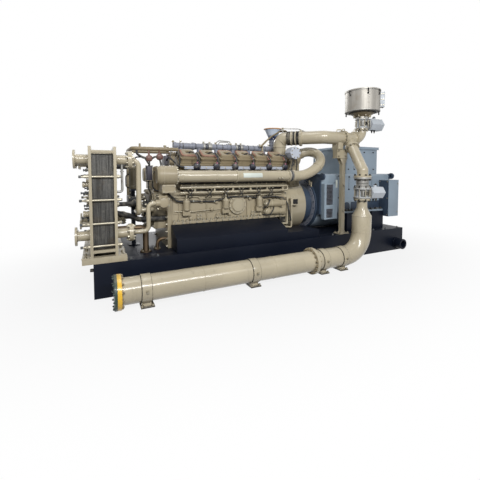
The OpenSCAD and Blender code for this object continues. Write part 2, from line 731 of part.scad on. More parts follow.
module coolant_pipes() {
    color("#c8bb9b") both_sides() {
        for (z = port_zs) run([hx_x1 + port_out, -port_y, z], [1, 0, 0], port_flange_t, port_flange_r);
        bend([upper_x, -port_y, upper_z], [1, 0, 0], [0, 0, -1], upper_turn, 90, 30);
        run([upper_x + upper_turn, -port_y, upper_z - upper_turn], [0, 0, -1],
            upper_z - thermo_z - 2 * upper_turn, 30);
        bend([upper_x + upper_turn, -port_y, thermo_z + upper_turn], [0, 0, -1], [0, 1, 0], upper_turn, 90, 30);
        run([upper_x + upper_turn, -port_y + upper_turn, thermo_z], [0, 1, 0],
            port_y - thermo_y - 2 * upper_turn, 30);
        bend([upper_x + upper_turn, -thermo_y - upper_turn, thermo_z], [0, 1, 0], [1, 0, 0], upper_turn, 90, 30);
        run([upper_x + 2 * upper_turn, -thermo_y, thermo_z], [1, 0, 0], case_x - upper_x - 2 * upper_turn, 30);
        run([upper_x, -port_y, lower_z], [1, 0, 0], lower_x - 60 - upper_x, 27);
        bend([lower_x - 60, -port_y, lower_z], [1, 0, 0], [0, 0, 1], 60, 90, 27);
        run([lower_x, -port_y, lower_z + 60], [0, 0, 1], pump_z - lower_z - 120, 27);
        bend([lower_x, -port_y, pump_z - 60], [0, 0, 1], [1, 0, 0], 60, 90, 27);
        run([lower_x + 60, -port_y, pump_z], [1, 0, 0], plate_x - 185 - lower_x - 60, 27);
    }
}

gas_x0 = -2315;
gas_joint_x = 140;
gas_flange_t = 40;
gas_cover_t = 25;
module gas_pipe() {
    color("#c8bb9b") difference() {
        union() {
            run([gas_x0, -gas_y, gas_z], [1, 0, 0], gas_joint_x - gas_x0, gas_r);
            run([gas_x0, -gas_y, gas_z], [1, 0, 0], gas_flange_t, gas_flange_r);
            run([gas_joint_x - 22, -gas_y, gas_z], [1, 0, 0], 22, gas_flange_r);
        }
        bolt_circle([gas_x0 - 1, -gas_y, gas_z], 12, gas_pcd, gas_flange_t + 2, gas_hole_r);
    }
}

module gas_inlet_cover() {
    color("#33413c") difference() {
        run([gas_x0 - gas_cover_t, -gas_y, gas_z], [1, 0, 0], gas_cover_t, gas_flange_r);
        bolt_circle([gas_x0 - gas_cover_t - 1, -gas_y, gas_z], 12, gas_pcd, gas_cover_t + 2, gas_hole_r);
    }
}

saddle_xs = [-2035, -770, 310, 655];
saddle_w = 100;
module pipe_saddles() {
    color("#c8bb9b") for (x = saddle_xs) {
        difference() {
            along_x(x - saddle_w / 2, saddle_w) {
                translate([-gas_y, gas_z]) circle(r = gas_r + 9);
                translate([-gas_y - 55, 0]) square([110, gas_z]);
            }
            run([x - saddle_w, -gas_y, gas_z], [1, 0, 0], 2 * saddle_w, gas_r + seat);
        }
        box([x - saddle_w / 2 - 10, x + saddle_w / 2 + 30], [-gas_y - 88, -gas_y + 88], [0, 14]);
    }
}

riser_z0 = gas_z + gas_bend;
neck_r = 75;
reducer_z = 751;
neck_z = 871;
gas_valve_z = 1010;
train_flange_r = 118;
train_flange_t = 25;
module gas_riser() {
    color("#c8bb9b") {
        run([gas_joint_x, -gas_y, gas_z], [1, 0, 0], 22, gas_flange_r);
        run([gas_joint_x, -gas_y, gas_z], [1, 0, 0], riser_x - gas_bend - gas_joint_x, gas_r);
        bend([riser_x - gas_bend, -gas_y, gas_z], [1, 0, 0], [0, 0, 1], gas_bend, 90, gas_r);
        translate([riser_x, -gas_y, 0]) rotate_extrude() polygon([
            [0, riser_z0], [gas_r, riser_z0], [gas_r, reducer_z], [neck_r, neck_z],
            [neck_r, gas_valve_z - train_flange_t], [train_flange_r, gas_valve_z - train_flange_t],
            [train_flange_r, gas_valve_z], [0, gas_valve_z]]);
    }
}

valve_body_h = 105;
valve_boss = 100;
module butterfly_valve(p, body_r, flange_r, body_h) {
    translate(p) {
        cylinder(h = train_flange_t, r = flange_r);
        cylinder(h = body_h + 2 * train_flange_t, r = body_r);
        translate([0, 0, body_h + train_flange_t]) cylinder(h = train_flange_t, r = flange_r);
        box([0, valve_boss], [-30, 30], [train_flange_t + body_h / 2 - 30, train_flange_t + body_h / 2 + 30]);
    }
}
module gas_valve() {
    color("#9a9d9e") butterfly_valve([riser_x, -gas_y, gas_valve_z], 84, train_flange_r, valve_body_h);
}

bellows_z = gas_valve_z + valve_body_h + 2 * train_flange_t;
bellows_h = 107;
tee_flange_z = bellows_z + 2 * train_flange_t + bellows_h;
module gas_bellows() {
    color("#a8abac") translate([riser_x, -gas_y, bellows_z]) {
        cylinder(h = train_flange_t, r = train_flange_r);
        cylinder(h = bellows_h + 2 * train_flange_t, r = 74);
        for (i = [0:4]) translate([0, 0, train_flange_t + 4 + i * 21]) cylinder(h = 14, r = 90);
        translate([0, 0, bellows_h + train_flange_t]) cylinder(h = train_flange_t, r = train_flange_r + 7);
    }
}

tee_x0 = 1140;
tee_x1 = 1385;
tee_branch = [1262, -mix_y, mix_z];
branch_foot = [riser_x, -gas_y, 1425];
branch_d = unit(tee_branch - branch_foot);
branch_r = 80;
mix_flange_r = mix_r + 24;
module mixing_tee() {
    color("#c3b698") {
        run([tee_x0, -mix_y, mix_z], [1, 0, 0], tee_x1 - tee_x0, mix_r);
        for (x = [tee_x0, tee_x1 - 22]) run([x, -mix_y, mix_z], [1, 0, 0], 22, mix_flange_r);
        run(branch_foot, branch_d, norm(tee_branch - branch_foot), branch_r);
        run(branch_foot + 500 * branch_d, branch_d, 40, branch_r + 28);
        translate(branch_foot) sphere(r = branch_r);
        translate([riser_x, -gas_y, tee_flange_z]) {
            cylinder(h = branch_foot.z - tee_flange_z, r = branch_r);
            cylinder(h = train_flange_t, r = train_flange_r + 7);
        }
    }
}

mix_turn = 45;
mix_turn_r = 250;
mix_d = bend_dir([-1, 0, 0], [0, 1, 0], mix_turn);
mix_e = bend_end([0, 0, 0], [-1, 0, 0], [0, 1, 0], mix_turn_r, mix_turn);
drop_p = [drop_x, -drop_y, mix_z] - drop_bend * mix_d;
mix_len = (drop_p.y - (-mix_y + mix_e.y)) / mix_d.y;
mix_p0 = [drop_p.x - mix_len * mix_d.x - mix_e.x, -mix_y, mix_z];
module mixture_pipe() {
    color("#c8bb9b") {
        run([tee_x0, -mix_y, mix_z], [-1, 0, 0], tee_x0 - mix_p0.x, mix_r);
        run([tee_x0, -mix_y, mix_z], [-1, 0, 0], 22, mix_flange_r);
        bend(mix_p0, [-1, 0, 0], [0, 1, 0], mix_turn_r, mix_turn, mix_r);
        weld(mix_p0 + mix_e + weld_gap / 2 * mix_d, mix_d, mix_r);
        run(mix_p0 + mix_e + weld_gap * mix_d, mix_d, mix_len - 2 * weld_gap, mix_r);
        weld(drop_p - weld_gap / 2 * mix_d, mix_d, mix_r);
        for (t = [235, 320]) run(mix_p0 + mix_e + t * mix_d, mix_d, 26, mix_r + 16);
        bend(drop_p, mix_d, [0, 0, -1], drop_bend, 90, mix_r);
        run([drop_x, -drop_y, plenum_z + entry_bend], [0, 0, 1], drop_run - weld_gap, mix_r);
        weld([drop_x, -drop_y, plenum_z + entry_bend + drop_run - weld_gap / 2], [0, 0, 1], mix_r);
        bend([drop_x, -drop_y, plenum_z + entry_bend], [0, 0, -1], [1, 0, 0], entry_bend, 90, mix_r);
        run([drop_x + entry_bend, -drop_y, plenum_z], [1, 0, 0], plenum_x - drop_x - entry_bend, mix_r);
    }
}

filter_x = 1560;
air_r = 74;
air_flange_r = 106;
air_bend = filter_x - tee_x1 - 22;
air_valve_z = mix_z + air_bend + train_flange_t;
module air_elbow() {
    color("#c8bb9b") {
        run([tee_x1, -mix_y, mix_z], [1, 0, 0], 22, mix_flange_r);
        bend([tee_x1 + 22, -mix_y, mix_z], [1, 0, 0], [0, 0, 1], air_bend, 90, air_r);
        translate([filter_x, -mix_y, mix_z + air_bend]) cylinder(h = train_flange_t, r = air_flange_r);
    }
}

air_body_h = 118;
module air_valve() {
    color("#9a9d9e") butterfly_valve([filter_x, -mix_y, air_valve_z], 80, air_flange_r, air_body_h);
}

module actuator(p, r, len) {
    run(p, [1, 0, 0], 60, 24);
    translate(p + [40, 0, 0]) rotate([0, 90, 0]) rotate(30) cylinder(h = len, r = r, $fn = 6);
    translate(p + [40 + len / 2, 0, 0]) cylinder(h = r + 16, r = 26);
}
module valve_actuators() {
    color("#a9afb4") {
        actuator([riser_x + valve_boss, -gas_y, gas_valve_z + train_flange_t + valve_body_h / 2], 96, 250);
        actuator([filter_x + valve_boss, -mix_y, air_valve_z + train_flange_t + air_body_h / 2], 108, 280);
    }
}

module throttle_actuator() {
    color("#8d9cad") {
        translate([295, -430, plenum_z + 30]) rotate([90, 0, 0]) cylinder(h = 150, r = 96, $fn = 8);
        box([plenum_x + 10, plenum_x + 55], [-431, -310], [plenum_z, plenum_z + 60]);
    }
}

filter_z0 = air_valve_z + 2 * train_flange_t + air_body_h;
cone_h = 55;
drum_z = filter_z0 + train_flange_t + 24 + cone_h;
module air_filter() {
    color("#c9c4b4") {
        translate([filter_x, -mix_y, filter_z0]) rotate_extrude() polygon([
            [0, 0], [air_flange_r, 0], [air_flange_r, train_flange_t], [air_r, train_flange_t],
            [air_r + 20, train_flange_t + 24], [175, drum_z - filter_z0], [filter_r, drum_z - filter_z0],
            [filter_r, drum_z - filter_z0 + filter_h - 26], [filter_r + 9, drum_z - filter_z0 + filter_h - 26],
            [filter_r + 9, drum_z - filter_z0 + filter_h - 8], [filter_r - 20, drum_z - filter_z0 + filter_h],
            [0, drum_z - filter_z0 + filter_h]]);
        translate([filter_x, -mix_y, 0]) rotate([0, 0, -35])
            box([filter_r - 20, filter_r + 56], [-62, 62], [drum_z + 80, drum_z + 310]);
    }
}

post_w = 65;
cradle_z = 1628;
module support_post() {
    color("#cabd9e") {
        box([tee_x0 - post_w / 2, tee_x0 + post_w / 2], [-mix_y - post_w / 2, -mix_y + post_w / 2],
            [skid_h, cradle_z]);
        box([tee_x0 - 100, tee_x0 + 100], [-mix_y - 75, -mix_y + 75], [skid_h, skid_h + 14]);
        box([tee_x0 - 160, tee_x0 + 50], [-mix_y - 52, -mix_y + 52], [cradle_z, mix_z - mix_flange_r - 56]);
        difference() {
            box([tee_x0 - 160, tee_x0 - 60], [-mix_y - 70, -mix_y + 70], [mix_z - mix_flange_r - 57, mix_z - 40]);
            run([tee_x0 - 200, -mix_y, mix_z], [1, 0, 0], 300, mix_r + seat);
        }
    }
}

skid_girders();
skid_cross_members();
deck_plates();
lifting_trunnions();
engine_pedestals();
generator_pedestals();
oil_pan();
crankcase();
crankcase_covers();
front_gear_cover();
vibration_damper();
water_pump();
starter_motors();
cylinder_heads();
rocker_covers();
intake_manifolds();
intake_coolers();
charge_air_tubes();
turbo_housing();
side_rails();
exhaust_manifold();
exhaust_outlet();
water_crossover();
filter_and_control_box();
flywheel_housing();
generator_bell();
generator_body();
generator_end_plates();
louvre_boxes();
terminal_box();
generator_side_box();
exchanger_frames();
exchanger_ports();
front_stand();
front_canister();
front_pump_block();
front_hoses();
drain_pipes();
ignition_rails();
exchanger_plate_packs();
exchanger_tie_rods();
exchanger_base();
coolant_pipes();
gas_pipe();
gas_inlet_cover();
pipe_saddles();
gas_riser();
gas_valve();
gas_bellows();
mixing_tee();
mixture_pipe();
air_elbow();
air_valve();
valve_actuators();
throttle_actuator();
air_filter();
support_post();
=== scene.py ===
# %% [markdown]
# A gas engine generator set, dressed for its portrait. The engineering model is already there:
# every pipe, box and bracket at its real size. This lesson gives it a skin. It shows how to round
# the edges of machined parts, how to cast a rocker cover from stacked outlines, how one node tree
# bolts down a whole machine, and how paint gets its dust, drips and orange peel.
#
# Lengths below are in millimetres, as on a workshop drawing. MM turns them into Blender's metres
# once, when a mesh is made.

import math
import random

import bmesh
import bpy
from mathutils import Matrix, Vector


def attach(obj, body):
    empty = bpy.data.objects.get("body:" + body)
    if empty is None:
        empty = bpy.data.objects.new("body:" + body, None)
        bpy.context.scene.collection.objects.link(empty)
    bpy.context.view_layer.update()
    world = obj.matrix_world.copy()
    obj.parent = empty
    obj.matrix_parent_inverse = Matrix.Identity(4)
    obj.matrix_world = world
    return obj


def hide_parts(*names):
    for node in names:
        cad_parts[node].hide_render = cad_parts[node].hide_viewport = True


MM = 0.001
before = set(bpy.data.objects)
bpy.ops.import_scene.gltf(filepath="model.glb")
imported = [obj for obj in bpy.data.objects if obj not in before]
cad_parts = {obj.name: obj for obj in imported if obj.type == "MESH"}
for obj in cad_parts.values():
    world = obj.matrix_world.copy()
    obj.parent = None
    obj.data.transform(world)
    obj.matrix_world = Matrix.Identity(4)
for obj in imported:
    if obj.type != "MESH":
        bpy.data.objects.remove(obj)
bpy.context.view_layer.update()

# %% [markdown]
# The camera comes first, because it decides which details matter. The photograph was taken with a
# short lens, from about eye height, to the left of the machine. A lens of 22.5 mm on Blender's
# 36 mm sensor gives the same strong perspective, and two small shifts move the picture on the
# sensor as a crop does, without tilting the verticals.

# %% Camera
eye = Vector((-2.4656, -4.4093, 1.40))
turn_right = math.radians(26.07)
look_down = math.radians(3.05)
camera_data = bpy.data.cameras.new("portrait")
camera_data.lens = 22.5
camera_data.sensor_width = 36
camera_data.shift_x = -4 / 480
camera_data.shift_y = -52 / 480
camera = bpy.data.objects.new("portrait", camera_data)
camera.location = eye
camera.rotation_euler = (math.pi / 2 - look_down, 0, -turn_right)
bpy.context.scene.collection.objects.link(camera)
bpy.context.scene.camera = camera
print("camera at", tuple(camera.location))

# %% [markdown]
# Shader maths reads best as arithmetic. Wire wraps one socket of a node tree, so that
# `dust * 0.4 + grime` adds the Math nodes by itself. Everything else goes through one helper, add,
# which sets a node's options first and then its inputs, from numbers or from wires.

# %% Node helpers
class Wire:
    """One output socket, with Python's operators as Math nodes."""

    def __init__(self, tree, socket):
        self.tree = tree
        self.socket = socket

    def maths(self, operation, *others, flip=False):
        values = list(others) + [self] if flip else [self] + list(others)
        return add(self.tree, "ShaderNodeMath", values, operation=operation)

    def __add__(self, other):
        return self.maths("ADD", other)

    def __sub__(self, other):
        return self.maths("SUBTRACT", other)

    def __rsub__(self, other):
        return self.maths("SUBTRACT", other, flip=True)

    def __mul__(self, other):
        return self.maths("MULTIPLY", other)

    def __truediv__(self, other):
        return self.maths("DIVIDE", other)

    __radd__ = __add__
    __rmul__ = __mul__

    def between(self, low, high):
        """0 below low, 1 above high and smooth between them."""
        settings = {"interpolation_type": "SMOOTHSTEP"}
        inputs = {"Value": self, "From Min": low, "From Max": high}
        return add(self.tree, "ShaderNodeMapRange", inputs, **settings)


def plug(tree, socket, value):
    """Puts a number, a colour or a wire into an input socket."""
    if isinstance(value, Wire):
        tree.links.new(value.socket, socket)
    elif value is not None:
        socket.default_value = value


def add(tree, kind, inputs=(), output=0, **settings):
    """A node of that kind: its settings first, then its inputs, by place or by name."""
    node = tree.nodes.new(kind)
    for name, value in settings.items():
        setattr(node, name, value)
    pairs = inputs.items() if isinstance(inputs, dict) else enumerate(inputs)
    for key, value in pairs:
        plug(tree, node.inputs[key], value)
    return Wire(tree, node.outputs[output])


# %% [markdown]
# Most of this machine is sprayed in one pale olive cream over cast iron and steel. Spray paint is
# never one colour: it is a little uneven over a metre, it has orange peel under a millimetre, dust
# settles on what faces up, and oil and water leave faint streaks below every joint. So `painted`
# builds all its finishes from those four layers. They all read Object coordinates, which stay with
# the part when it moves.

# %% Paint
def noise(tree, place, scale, detail=3.0, rough=0.5):
    inputs = {"Vector": place, "Scale": scale, "Detail": detail, "Roughness": rough}
    return add(tree, "ShaderNodeTexNoise", inputs)


def stretch(tree, place, factors):
    """The same pattern, squeezed by a factor along each axis."""
    return add(tree, "ShaderNodeMapping", {"Vector": place, "Scale": factors})


def blend_colours(tree, factor, first, second):
    inputs = {"Factor": factor, 6: first, 7: second}
    return add(tree, "ShaderNodeMix", inputs, output=2, data_type="RGBA")


def new_material(name):
    """An empty material: its tree, its shader node and its Object coordinates."""
    material = bpy.data.materials.new(name)
    material.use_nodes = True
    tree = material.node_tree
    shader = tree.nodes["Principled BSDF"]
    place = add(tree, "ShaderNodeTexCoord", output=3)
    return material, tree, shader, place


def surface(tree, shader, bump, **looks):
    """Fills the shader's inputs; bump is a strength, a depth in metres and a height."""
    for label, value in looks.items():
        plug(tree, shader.inputs[label.replace("_", " ")], value)
    strength, depth, height = bump
    inputs = {"Strength": strength, "Distance": depth, "Height": height}
    plug(tree, shader.inputs["Normal"], add(tree, "ShaderNodeBump", inputs))


def rgb(*screen):
    """A screen's red, green and blue, from 0 to 255, as the linear values that a shader takes."""
    return (*[((c / 255 + 0.055) / 1.055) ** 2.4 if c > 10 else c / 255 / 12.92 for c in screen],
            1.0)


def darker(colour, share):
    return [c * share for c in colour[:3]] + [1]


DUST = rgb(196, 188, 170)
GRIME = rgb(52, 44, 34)


def painted(name, colour, roughness=0.42, dust=0.25, grime=0.35, peel=0.25, coat=0.1, chips=0.0,
            shine=0.3, below=None):
    """Sprayed paint; below is an axis, a limit in metres and the colour on the limit's low side."""
    material, tree, shader, place = new_material(name)
    tone = noise(tree, place, 2.2, 4)
    speck = noise(tree, place, 46, 5, 0.65)
    streak = noise(tree, stretch(tree, place, (17, 17, 1.6)), 1.0, 4, 0.6)
    shade = blend_colours(tree, tone.between(0.3, 0.75), darker(colour, 0.86), colour)
    if below:
        axis, limit, other = below
        along = add(tree, "ShaderNodeSeparateXYZ", [place], output=axis)
        shade = blend_colours(tree, along.between(limit + 0.001, limit), shade, other)
    dirty = streak.between(0.56, 0.80) * grime + speck.between(0.62, 0.78) * grime * 0.5
    shade = blend_colours(tree, dirty, shade, GRIME)
    facing = add(tree, "ShaderNodeNewGeometry", output=1)
    up = add(tree, "ShaderNodeSeparateXYZ", [facing], output=2)
    settled = up.between(0.55, 1.0) * (0.45 + tone * 0.7) * dust
    shade = blend_colours(tree, settled, shade, DUST)
    if chips:
        bare = noise(tree, place, 21, 6, 0.7).between(0.69, 0.72) * chips
        shade = blend_colours(tree, bare, shade, rgb(96, 92, 86))
    ripple = noise(tree, place, 260, 2) * peel + speck * 0.35
    surface(tree, shader, (0.28, 0.0012, ripple), Base_Color=shade, Specular_IOR_Level=shine,
            Roughness=roughness + settled * 0.35 + dirty * 0.2 + (tone - 0.5) * 0.12,
            Metallic=0.0, Coat_Weight=coat, Coat_Roughness=0.14)
    return material


GLOSSY = {"roughness": 0.27, "coat": 0.45, "grime": 0.25, "shine": 0.35}
CREAM = painted("olive cream paint", rgb(173, 163, 139), **GLOSSY)
PIPE_CREAM = painted("olive cream pipe with a yellow end", rgb(173, 163, 139), **GLOSSY,
                     below=(0, -2.2722, rgb(222, 176, 44)))
SADDLE = painted("cream saddles on dark feet", rgb(171, 161, 137),
                 0.3, coat=0.4, grime=0.3, shine=0.35, below=(2, 0.0142, rgb(58, 54, 48)))
CAST_CREAM = painted("cream paint on rough castings", rgb(158, 147, 123),
                     0.4, grime=0.85, peel=1.0, coat=0.05)
# SHADE is the cream darkened to olive brown: painted shade on the front canister and the cable
# tray.
SHADE = painted("cream darkened as painted shade", rgb(84, 78, 62), 0.5, grime=0.6, peel=0.8)
PRIMER = painted("red-brown primer", rgb(108, 78, 70), 0.5, grime=0.5, peel=0.6)
# DARK_CAST is a darker cast cream; on the support post it paints the shade in the groove.
DARK_CAST = painted("darker cast cream", rgb(132, 119, 94),
                    0.42, grime=0.7, peel=1.2, coat=0.05)
NAVY = painted("near-black navy paint", rgb(13, 19, 32),
               0.42, dust=0.006, grime=0.02, coat=0.0, shine=0.14)
BLUE = painted("generator blue-grey paint", rgb(144, 159, 172), 0.42, dust=0.2, grime=0.12)
DEEP_BLUE = painted("dark blue-grey paint", rgb(54, 67, 84), 0.45, dust=0.15, grime=0.2)
MANIFOLD = painted("matt heat-resistant grey", rgb(134, 138, 150),
                   0.45, dust=0.3, grime=0.45, coat=0.1)
GREEN = painted("dark green cover paint", rgb(48, 66, 58), 0.4, dust=0.2, grime=0.4, chips=0.7)
ACTUATOR = painted("light grey powder coat", rgb(184, 190, 196),
                   0.45, dust=0.2, grime=0.15, peel=0.8)
THROTTLE = painted("pale blue powder coat", rgb(182, 188, 198), 0.45, dust=0.2, grime=0.2, peel=0.8)
BOX_NAVY = painted("slate control box enamel", rgb(62, 60, 70), 0.4, dust=0.2, grime=0.2)
RAIL_BLUE = painted("blue-grey rail lacquer", rgb(164, 169, 180), 0.36, dust=0.2, grime=0.2)
LABEL = painted("blank white plate", rgb(204, 211, 203), 0.35, dust=0.1, grime=0.15)
DAMPER = painted("semi-gloss black damper paint", rgb(30, 31, 34), 0.4, dust=0.3, grime=0.2)
print(len(bpy.data.materials), "paints")

# %% [markdown]
# A few finishes are not paint. Bare steel keeps the fine lines of the tool that cut it, so its
# noise is squeezed hard along one axis and drives roughness more than colour. Rubber is matt and
# greys with dust. The sealant that squeezes out of the rocker covers is a soft, slightly glossy
# silicone.

# %% Bare metal, rubber and sealant
def brushed(name, colour, roughness=0.32, lines=(1, 1, 60), heat=0.0, depth=0.0, metal=0.9):
    """Bare metal with tool lines, stains, a straw tint where hot, and streaks that depth darkens.
    """
    material, tree, shader, place = new_material(name)
    grain = noise(tree, stretch(tree, place, lines), 9, 4, 0.6)
    stain = noise(tree, place, 5.5, 5, 0.6)
    shade = blend_colours(tree, grain * 0.6, colour, darker(colour, 0.72))
    if depth:
        shade = blend_colours(tree, grain.between(0.42, 0.6) * depth, shade, darker(colour, 0.3))
    shade = blend_colours(tree, stain.between(0.52, 0.78) * (0.3 + heat), shade, rgb(120, 96, 62))
    surface(tree, shader, (0.25, 0.0006, grain), Base_Color=shade, Metallic=metal,
            Specular_Tint=rgb(170, 168, 164),
            Roughness=roughness + grain * 0.16 + stain.between(0.5, 0.8) * 0.2)
    return material


def soft_black(name, colour, roughness=0.6, shine=0.0):
    """Rubber, silicone or moulded plastic: dusty, finely pitted and without a metal's gloss."""
    material, tree, shader, place = new_material(name)
    bloom = noise(tree, place, 14, 4, 0.6)
    pits = noise(tree, place, 420, 2)
    shade = blend_colours(tree, bloom.between(0.45, 0.8) * 0.35, colour, DUST)
    surface(tree, shader, (0.3, 0.0008, pits), Base_Color=shade, Coat_Weight=shine,
            Roughness=roughness + bloom * 0.15)
    return material


STEEL = brushed("zinc plated steel", rgb(164, 158, 142), 0.36)
STAINLESS = brushed("satin stainless steel", rgb(158, 157, 153), 0.38, (1, 1, 40), metal=0.6)
# On the filter, the streaks run down the drum and darken it in bands: painted reflection bands.
FILTER = brushed("rolled filter sheet", rgb(184, 180, 172), 0.36, (1, 1, 0.08),
                 depth=0.35, metal=0.3)
PACK_STEEL = brushed("pressed plate steel", rgb(100, 99, 96), 0.45, (11, 0.5, 0.3), depth=0.8)
COPPER = brushed("oily brown pipe", rgb(98, 84, 68), 0.4, (30, 1, 1), 0.2)
RUBBER = soft_black("black rubber", rgb(28, 28, 30))
GASKET = soft_black("plate gasket rubber", rgb(40, 41, 42), 0.7)
COIL = soft_black("ignition coil plastic", rgb(26, 29, 42), 0.4, 0.3)
SEALANT = soft_black("orange sealant", rgb(138, 100, 84), 0.6, 0.1)
PINK = soft_black("pink ignition lead", rgb(136, 84, 100), 0.5, 0.3)
# DARK is near-black: the colour of small black parts, and painted shade in holes, wells and gaps.
DARK = soft_black("dark inside of an opening", rgb(12, 12, 13), 0.8)
CAP = soft_black("grey transport cap", rgb(70, 74, 78), 0.55)
print(len(bpy.data.materials), "finishes in all")

# %% [markdown]
# Everything solid is drawn from a few outlines. A ring of points is stacked into a loft, turned
# round an axis, or dragged along a route with rounded corners, as a pipe bender does. Shape keeps
# the points in millimetres; only `piece` makes a mesh of them, rounds the edges that a foundry or
# a grinder would round, and lets the part ride on the machine.

# %% Shapes
ALONG, BACK, OUT, UP, DOWN = (1, 0, 0), (-1, 0, 0), (0, -1, 0), (0, 0, 1), (0, 0, -1)
MIRROR = Matrix.Scale(-1, 4, (0, 1, 0))


class Shape:
    """Points and faces, in millimetres."""

    def __init__(self, verts, faces):
        self.verts = [Vector(v) for v in verts]
        self.faces = [list(f) for f in faces]

    def put(self, matrix):
        return Shape([matrix @ v for v in self.verts], self.faces)

    def moved(self, x, y=0.0, z=0.0):
        return self.put(Matrix.Translation((x, y, z)))


def join(shapes):
    """Many shapes as one."""
    verts, faces = [], []
    for shape in shapes:
        faces += [[i + len(verts) for i in face] for face in shape.faces]
        verts += shape.verts
    return Shape(verts, faces)


def pair(shape):
    """The near side's shape and its mirror image on the far side."""
    return join([shape, shape.put(MIRROR)])


def stand(point, direction, roll=0.0):
    """A matrix that sets a shape down at a point, with its Z axis along a direction."""
    turn = Vector(direction).to_track_quat("Z", "Y").to_matrix().to_4x4()
    return Matrix.Translation(point) @ turn @ Matrix.Rotation(math.radians(roll), 4, "Z")


def loft(rings):
    """A closed skin over rings that all have the same number of points."""
    count = len(rings[0])
    faces = [list(range(count))[::-1]]
    for level in range(len(rings) - 1):
        low, high = level * count, (level + 1) * count
        faces += [[low + i, low + (i + 1) % count, high + (i + 1) % count, high + i]
                  for i in range(count)]
    faces.append([(len(rings) - 1) * count + i for i in range(count)])
    return Shape([p for ring in rings for p in ring], faces)


def rounded(half_x, half_y, radius, z=0.0, x=0.0, y=0.0, steps=3):
    """A rectangle with round corners, as a ring of points."""
    ring = []
    for corner in range(4):
        sx, sy = ((1, 1), (-1, 1), (-1, -1), (1, -1))[corner]
        for i in range(steps + 1):
            angle = math.radians(90 * (corner + i / steps))
            ring.append(Vector((x + sx * (half_x - radius) + radius * math.cos(angle),
                                y + sy * (half_y - radius) + radius * math.sin(angle), z)))
    return ring


def round_ring(radius, z, x=0.0, y=0.0, count=16):
    """A circle, as a ring of points."""
    angles = [2 * math.pi * (i + 0.5) / count for i in range(count)]
    return [Vector((x + radius * math.cos(a), y + radius * math.sin(a), z)) for a in angles]


def turned(profile, sides=48):
    """A profile of (radius, height) pairs, turned round the Z axis."""
    return loft([round_ring(r, z, count=sides) for r, z in profile])


def lathe(profile, point, axis, sides=20, roll=0.0):
    """A turned profile, set down at a point with its axis along a direction."""
    return turned(profile, sides).put(stand(point, axis, roll))


def knob(profile, point, axis, sides=20):
    """The same, closed flat at its end."""
    return lathe(profile + [(0.5, profile[-1][1])], point, axis, sides)


def ring(point, axis, inner, outer, width, sides=40):
    """A flat ring round an axis, its outer edges broken."""
    edge = 2
    return lathe([(inner, 0), (outer - edge, 0), (outer, edge), (outer, width - edge),
                  (outer - edge, width), (inner, width)], point, axis, sides)


def block(low, high, radius=0.0):
    """A box between two corners, its upright edges rounded."""
    (x0, y0, z0), (x1, y1, z1) = low, high
    half_x, half_y = abs(x1 - x0) / 2, abs(y1 - y0) / 2
    middle = ((x0 + x1) / 2, (y0 + y1) / 2)
    if not radius:
        ring = [(x0, y0), (x1, y0), (x1, y1), (x0, y1)]
        return loft([[Vector((x, y, z)) for x, y in ring] for z in (z0, z1)])
    return loft([rounded(half_x, half_y, radius, z, *middle) for z in (z0, z1)])


def slab(outline, x0, x1):
    """An outline of (y, z) points, drawn out along X."""
    return loft([[Vector((x, y, z)) for y, z in outline] for x in (x0, x1)])


def route(points, bend=60.0, steps=7):
    """The middle line of a pipe through corner points, with bends of one radius."""
    points = [Vector(p) for p in points]
    path = [points[0]]
    for before, corner, after in zip(points, points[1:], points[2:]):
        back, on = (before - corner).normalized(), (after - corner).normalized()
        half = back.angle(on) / 2
        shorter = min((before - corner).length, (after - corner).length)
        reach = min(bend / math.tan(half), 0.49 * shorter)
        radius = reach * math.tan(half)
        centre = corner + (back + on).normalized() * (radius / math.sin(half))
        start, end = corner + back * reach - centre, corner + on * reach - centre
        sweep_angle = start.angle(end)
        for i in range(steps + 1):
            a, b = (1 - i / steps) * sweep_angle, i / steps * sweep_angle
            path.append(centre + (math.sin(a) * start + math.sin(b) * end) / math.sin(sweep_angle))
    return path + [points[-1]]


def sweep(path, radius, sides=20):
    """A round bar along a path; radius is a number, or one number for each point."""
    radii = radius if isinstance(radius, list) else [radius] * len(path)
    side = (path[1] - path[0]).orthogonal().normalized()
    rings = []
    for i, point in enumerate(path):
        ahead = (path[min(i + 1, len(path) - 1)] - path[max(i - 1, 0)]).normalized()
        side = (side - ahead * side.dot(ahead)).normalized()
        over = ahead.cross(side)
        turn = [2 * math.pi * k / sides for k in range(sides)]
        rings.append([point + radii[i] * (math.cos(a) * side + math.sin(a) * over) for a in turn])
    return loft(rings)


def pipe(points, radius, bend=60.0, sides=20):
    return sweep(route(points, bend), radius, sides)


# %% [markdown]
# A real edge is never perfectly sharp: it catches a thin line of light. `soften` rounds every edge
# that turns more than the crease angle, shades the rest smoothly and closes the skin. The solids
# of the engineering model get the same care. Their meshes come as loose triangles, so `dress`
# merges a copy, melts the flat triangles together, and lets the copy stand for the solid.
# `twins` is `piece` for what both banks of the engine have.

# %% From shapes to pieces
SLOTS = {"engine_cream": [CREAM, PIPE_CREAM, SADDLE, CAST_CREAM, DARK_CAST, SHADE],
         "skid_navy": [NAVY], "generator_blue": [BLUE], "bell_dark": [DEEP_BLUE],
         "manifold_grey": [MANIFOLD], "cover_green": [GREEN], "actuator_grey": [ACTUATOR],
         "throttle_blue": [THROTTLE], "valve_stainless": [STAINLESS], "filter_satin": [FILTER],
         "plate_pack_steel": [PACK_STEEL], "rod_steel": [STEEL], "hose_rubber": [RUBBER],
         "pipe_brown": [COPPER, PRIMER], "rail_blue": [RAIL_BLUE], "damper_black": [DAMPER]}
SLOT_OF = {finish: slot for slot, finishes in SLOTS.items() for finish in finishes}


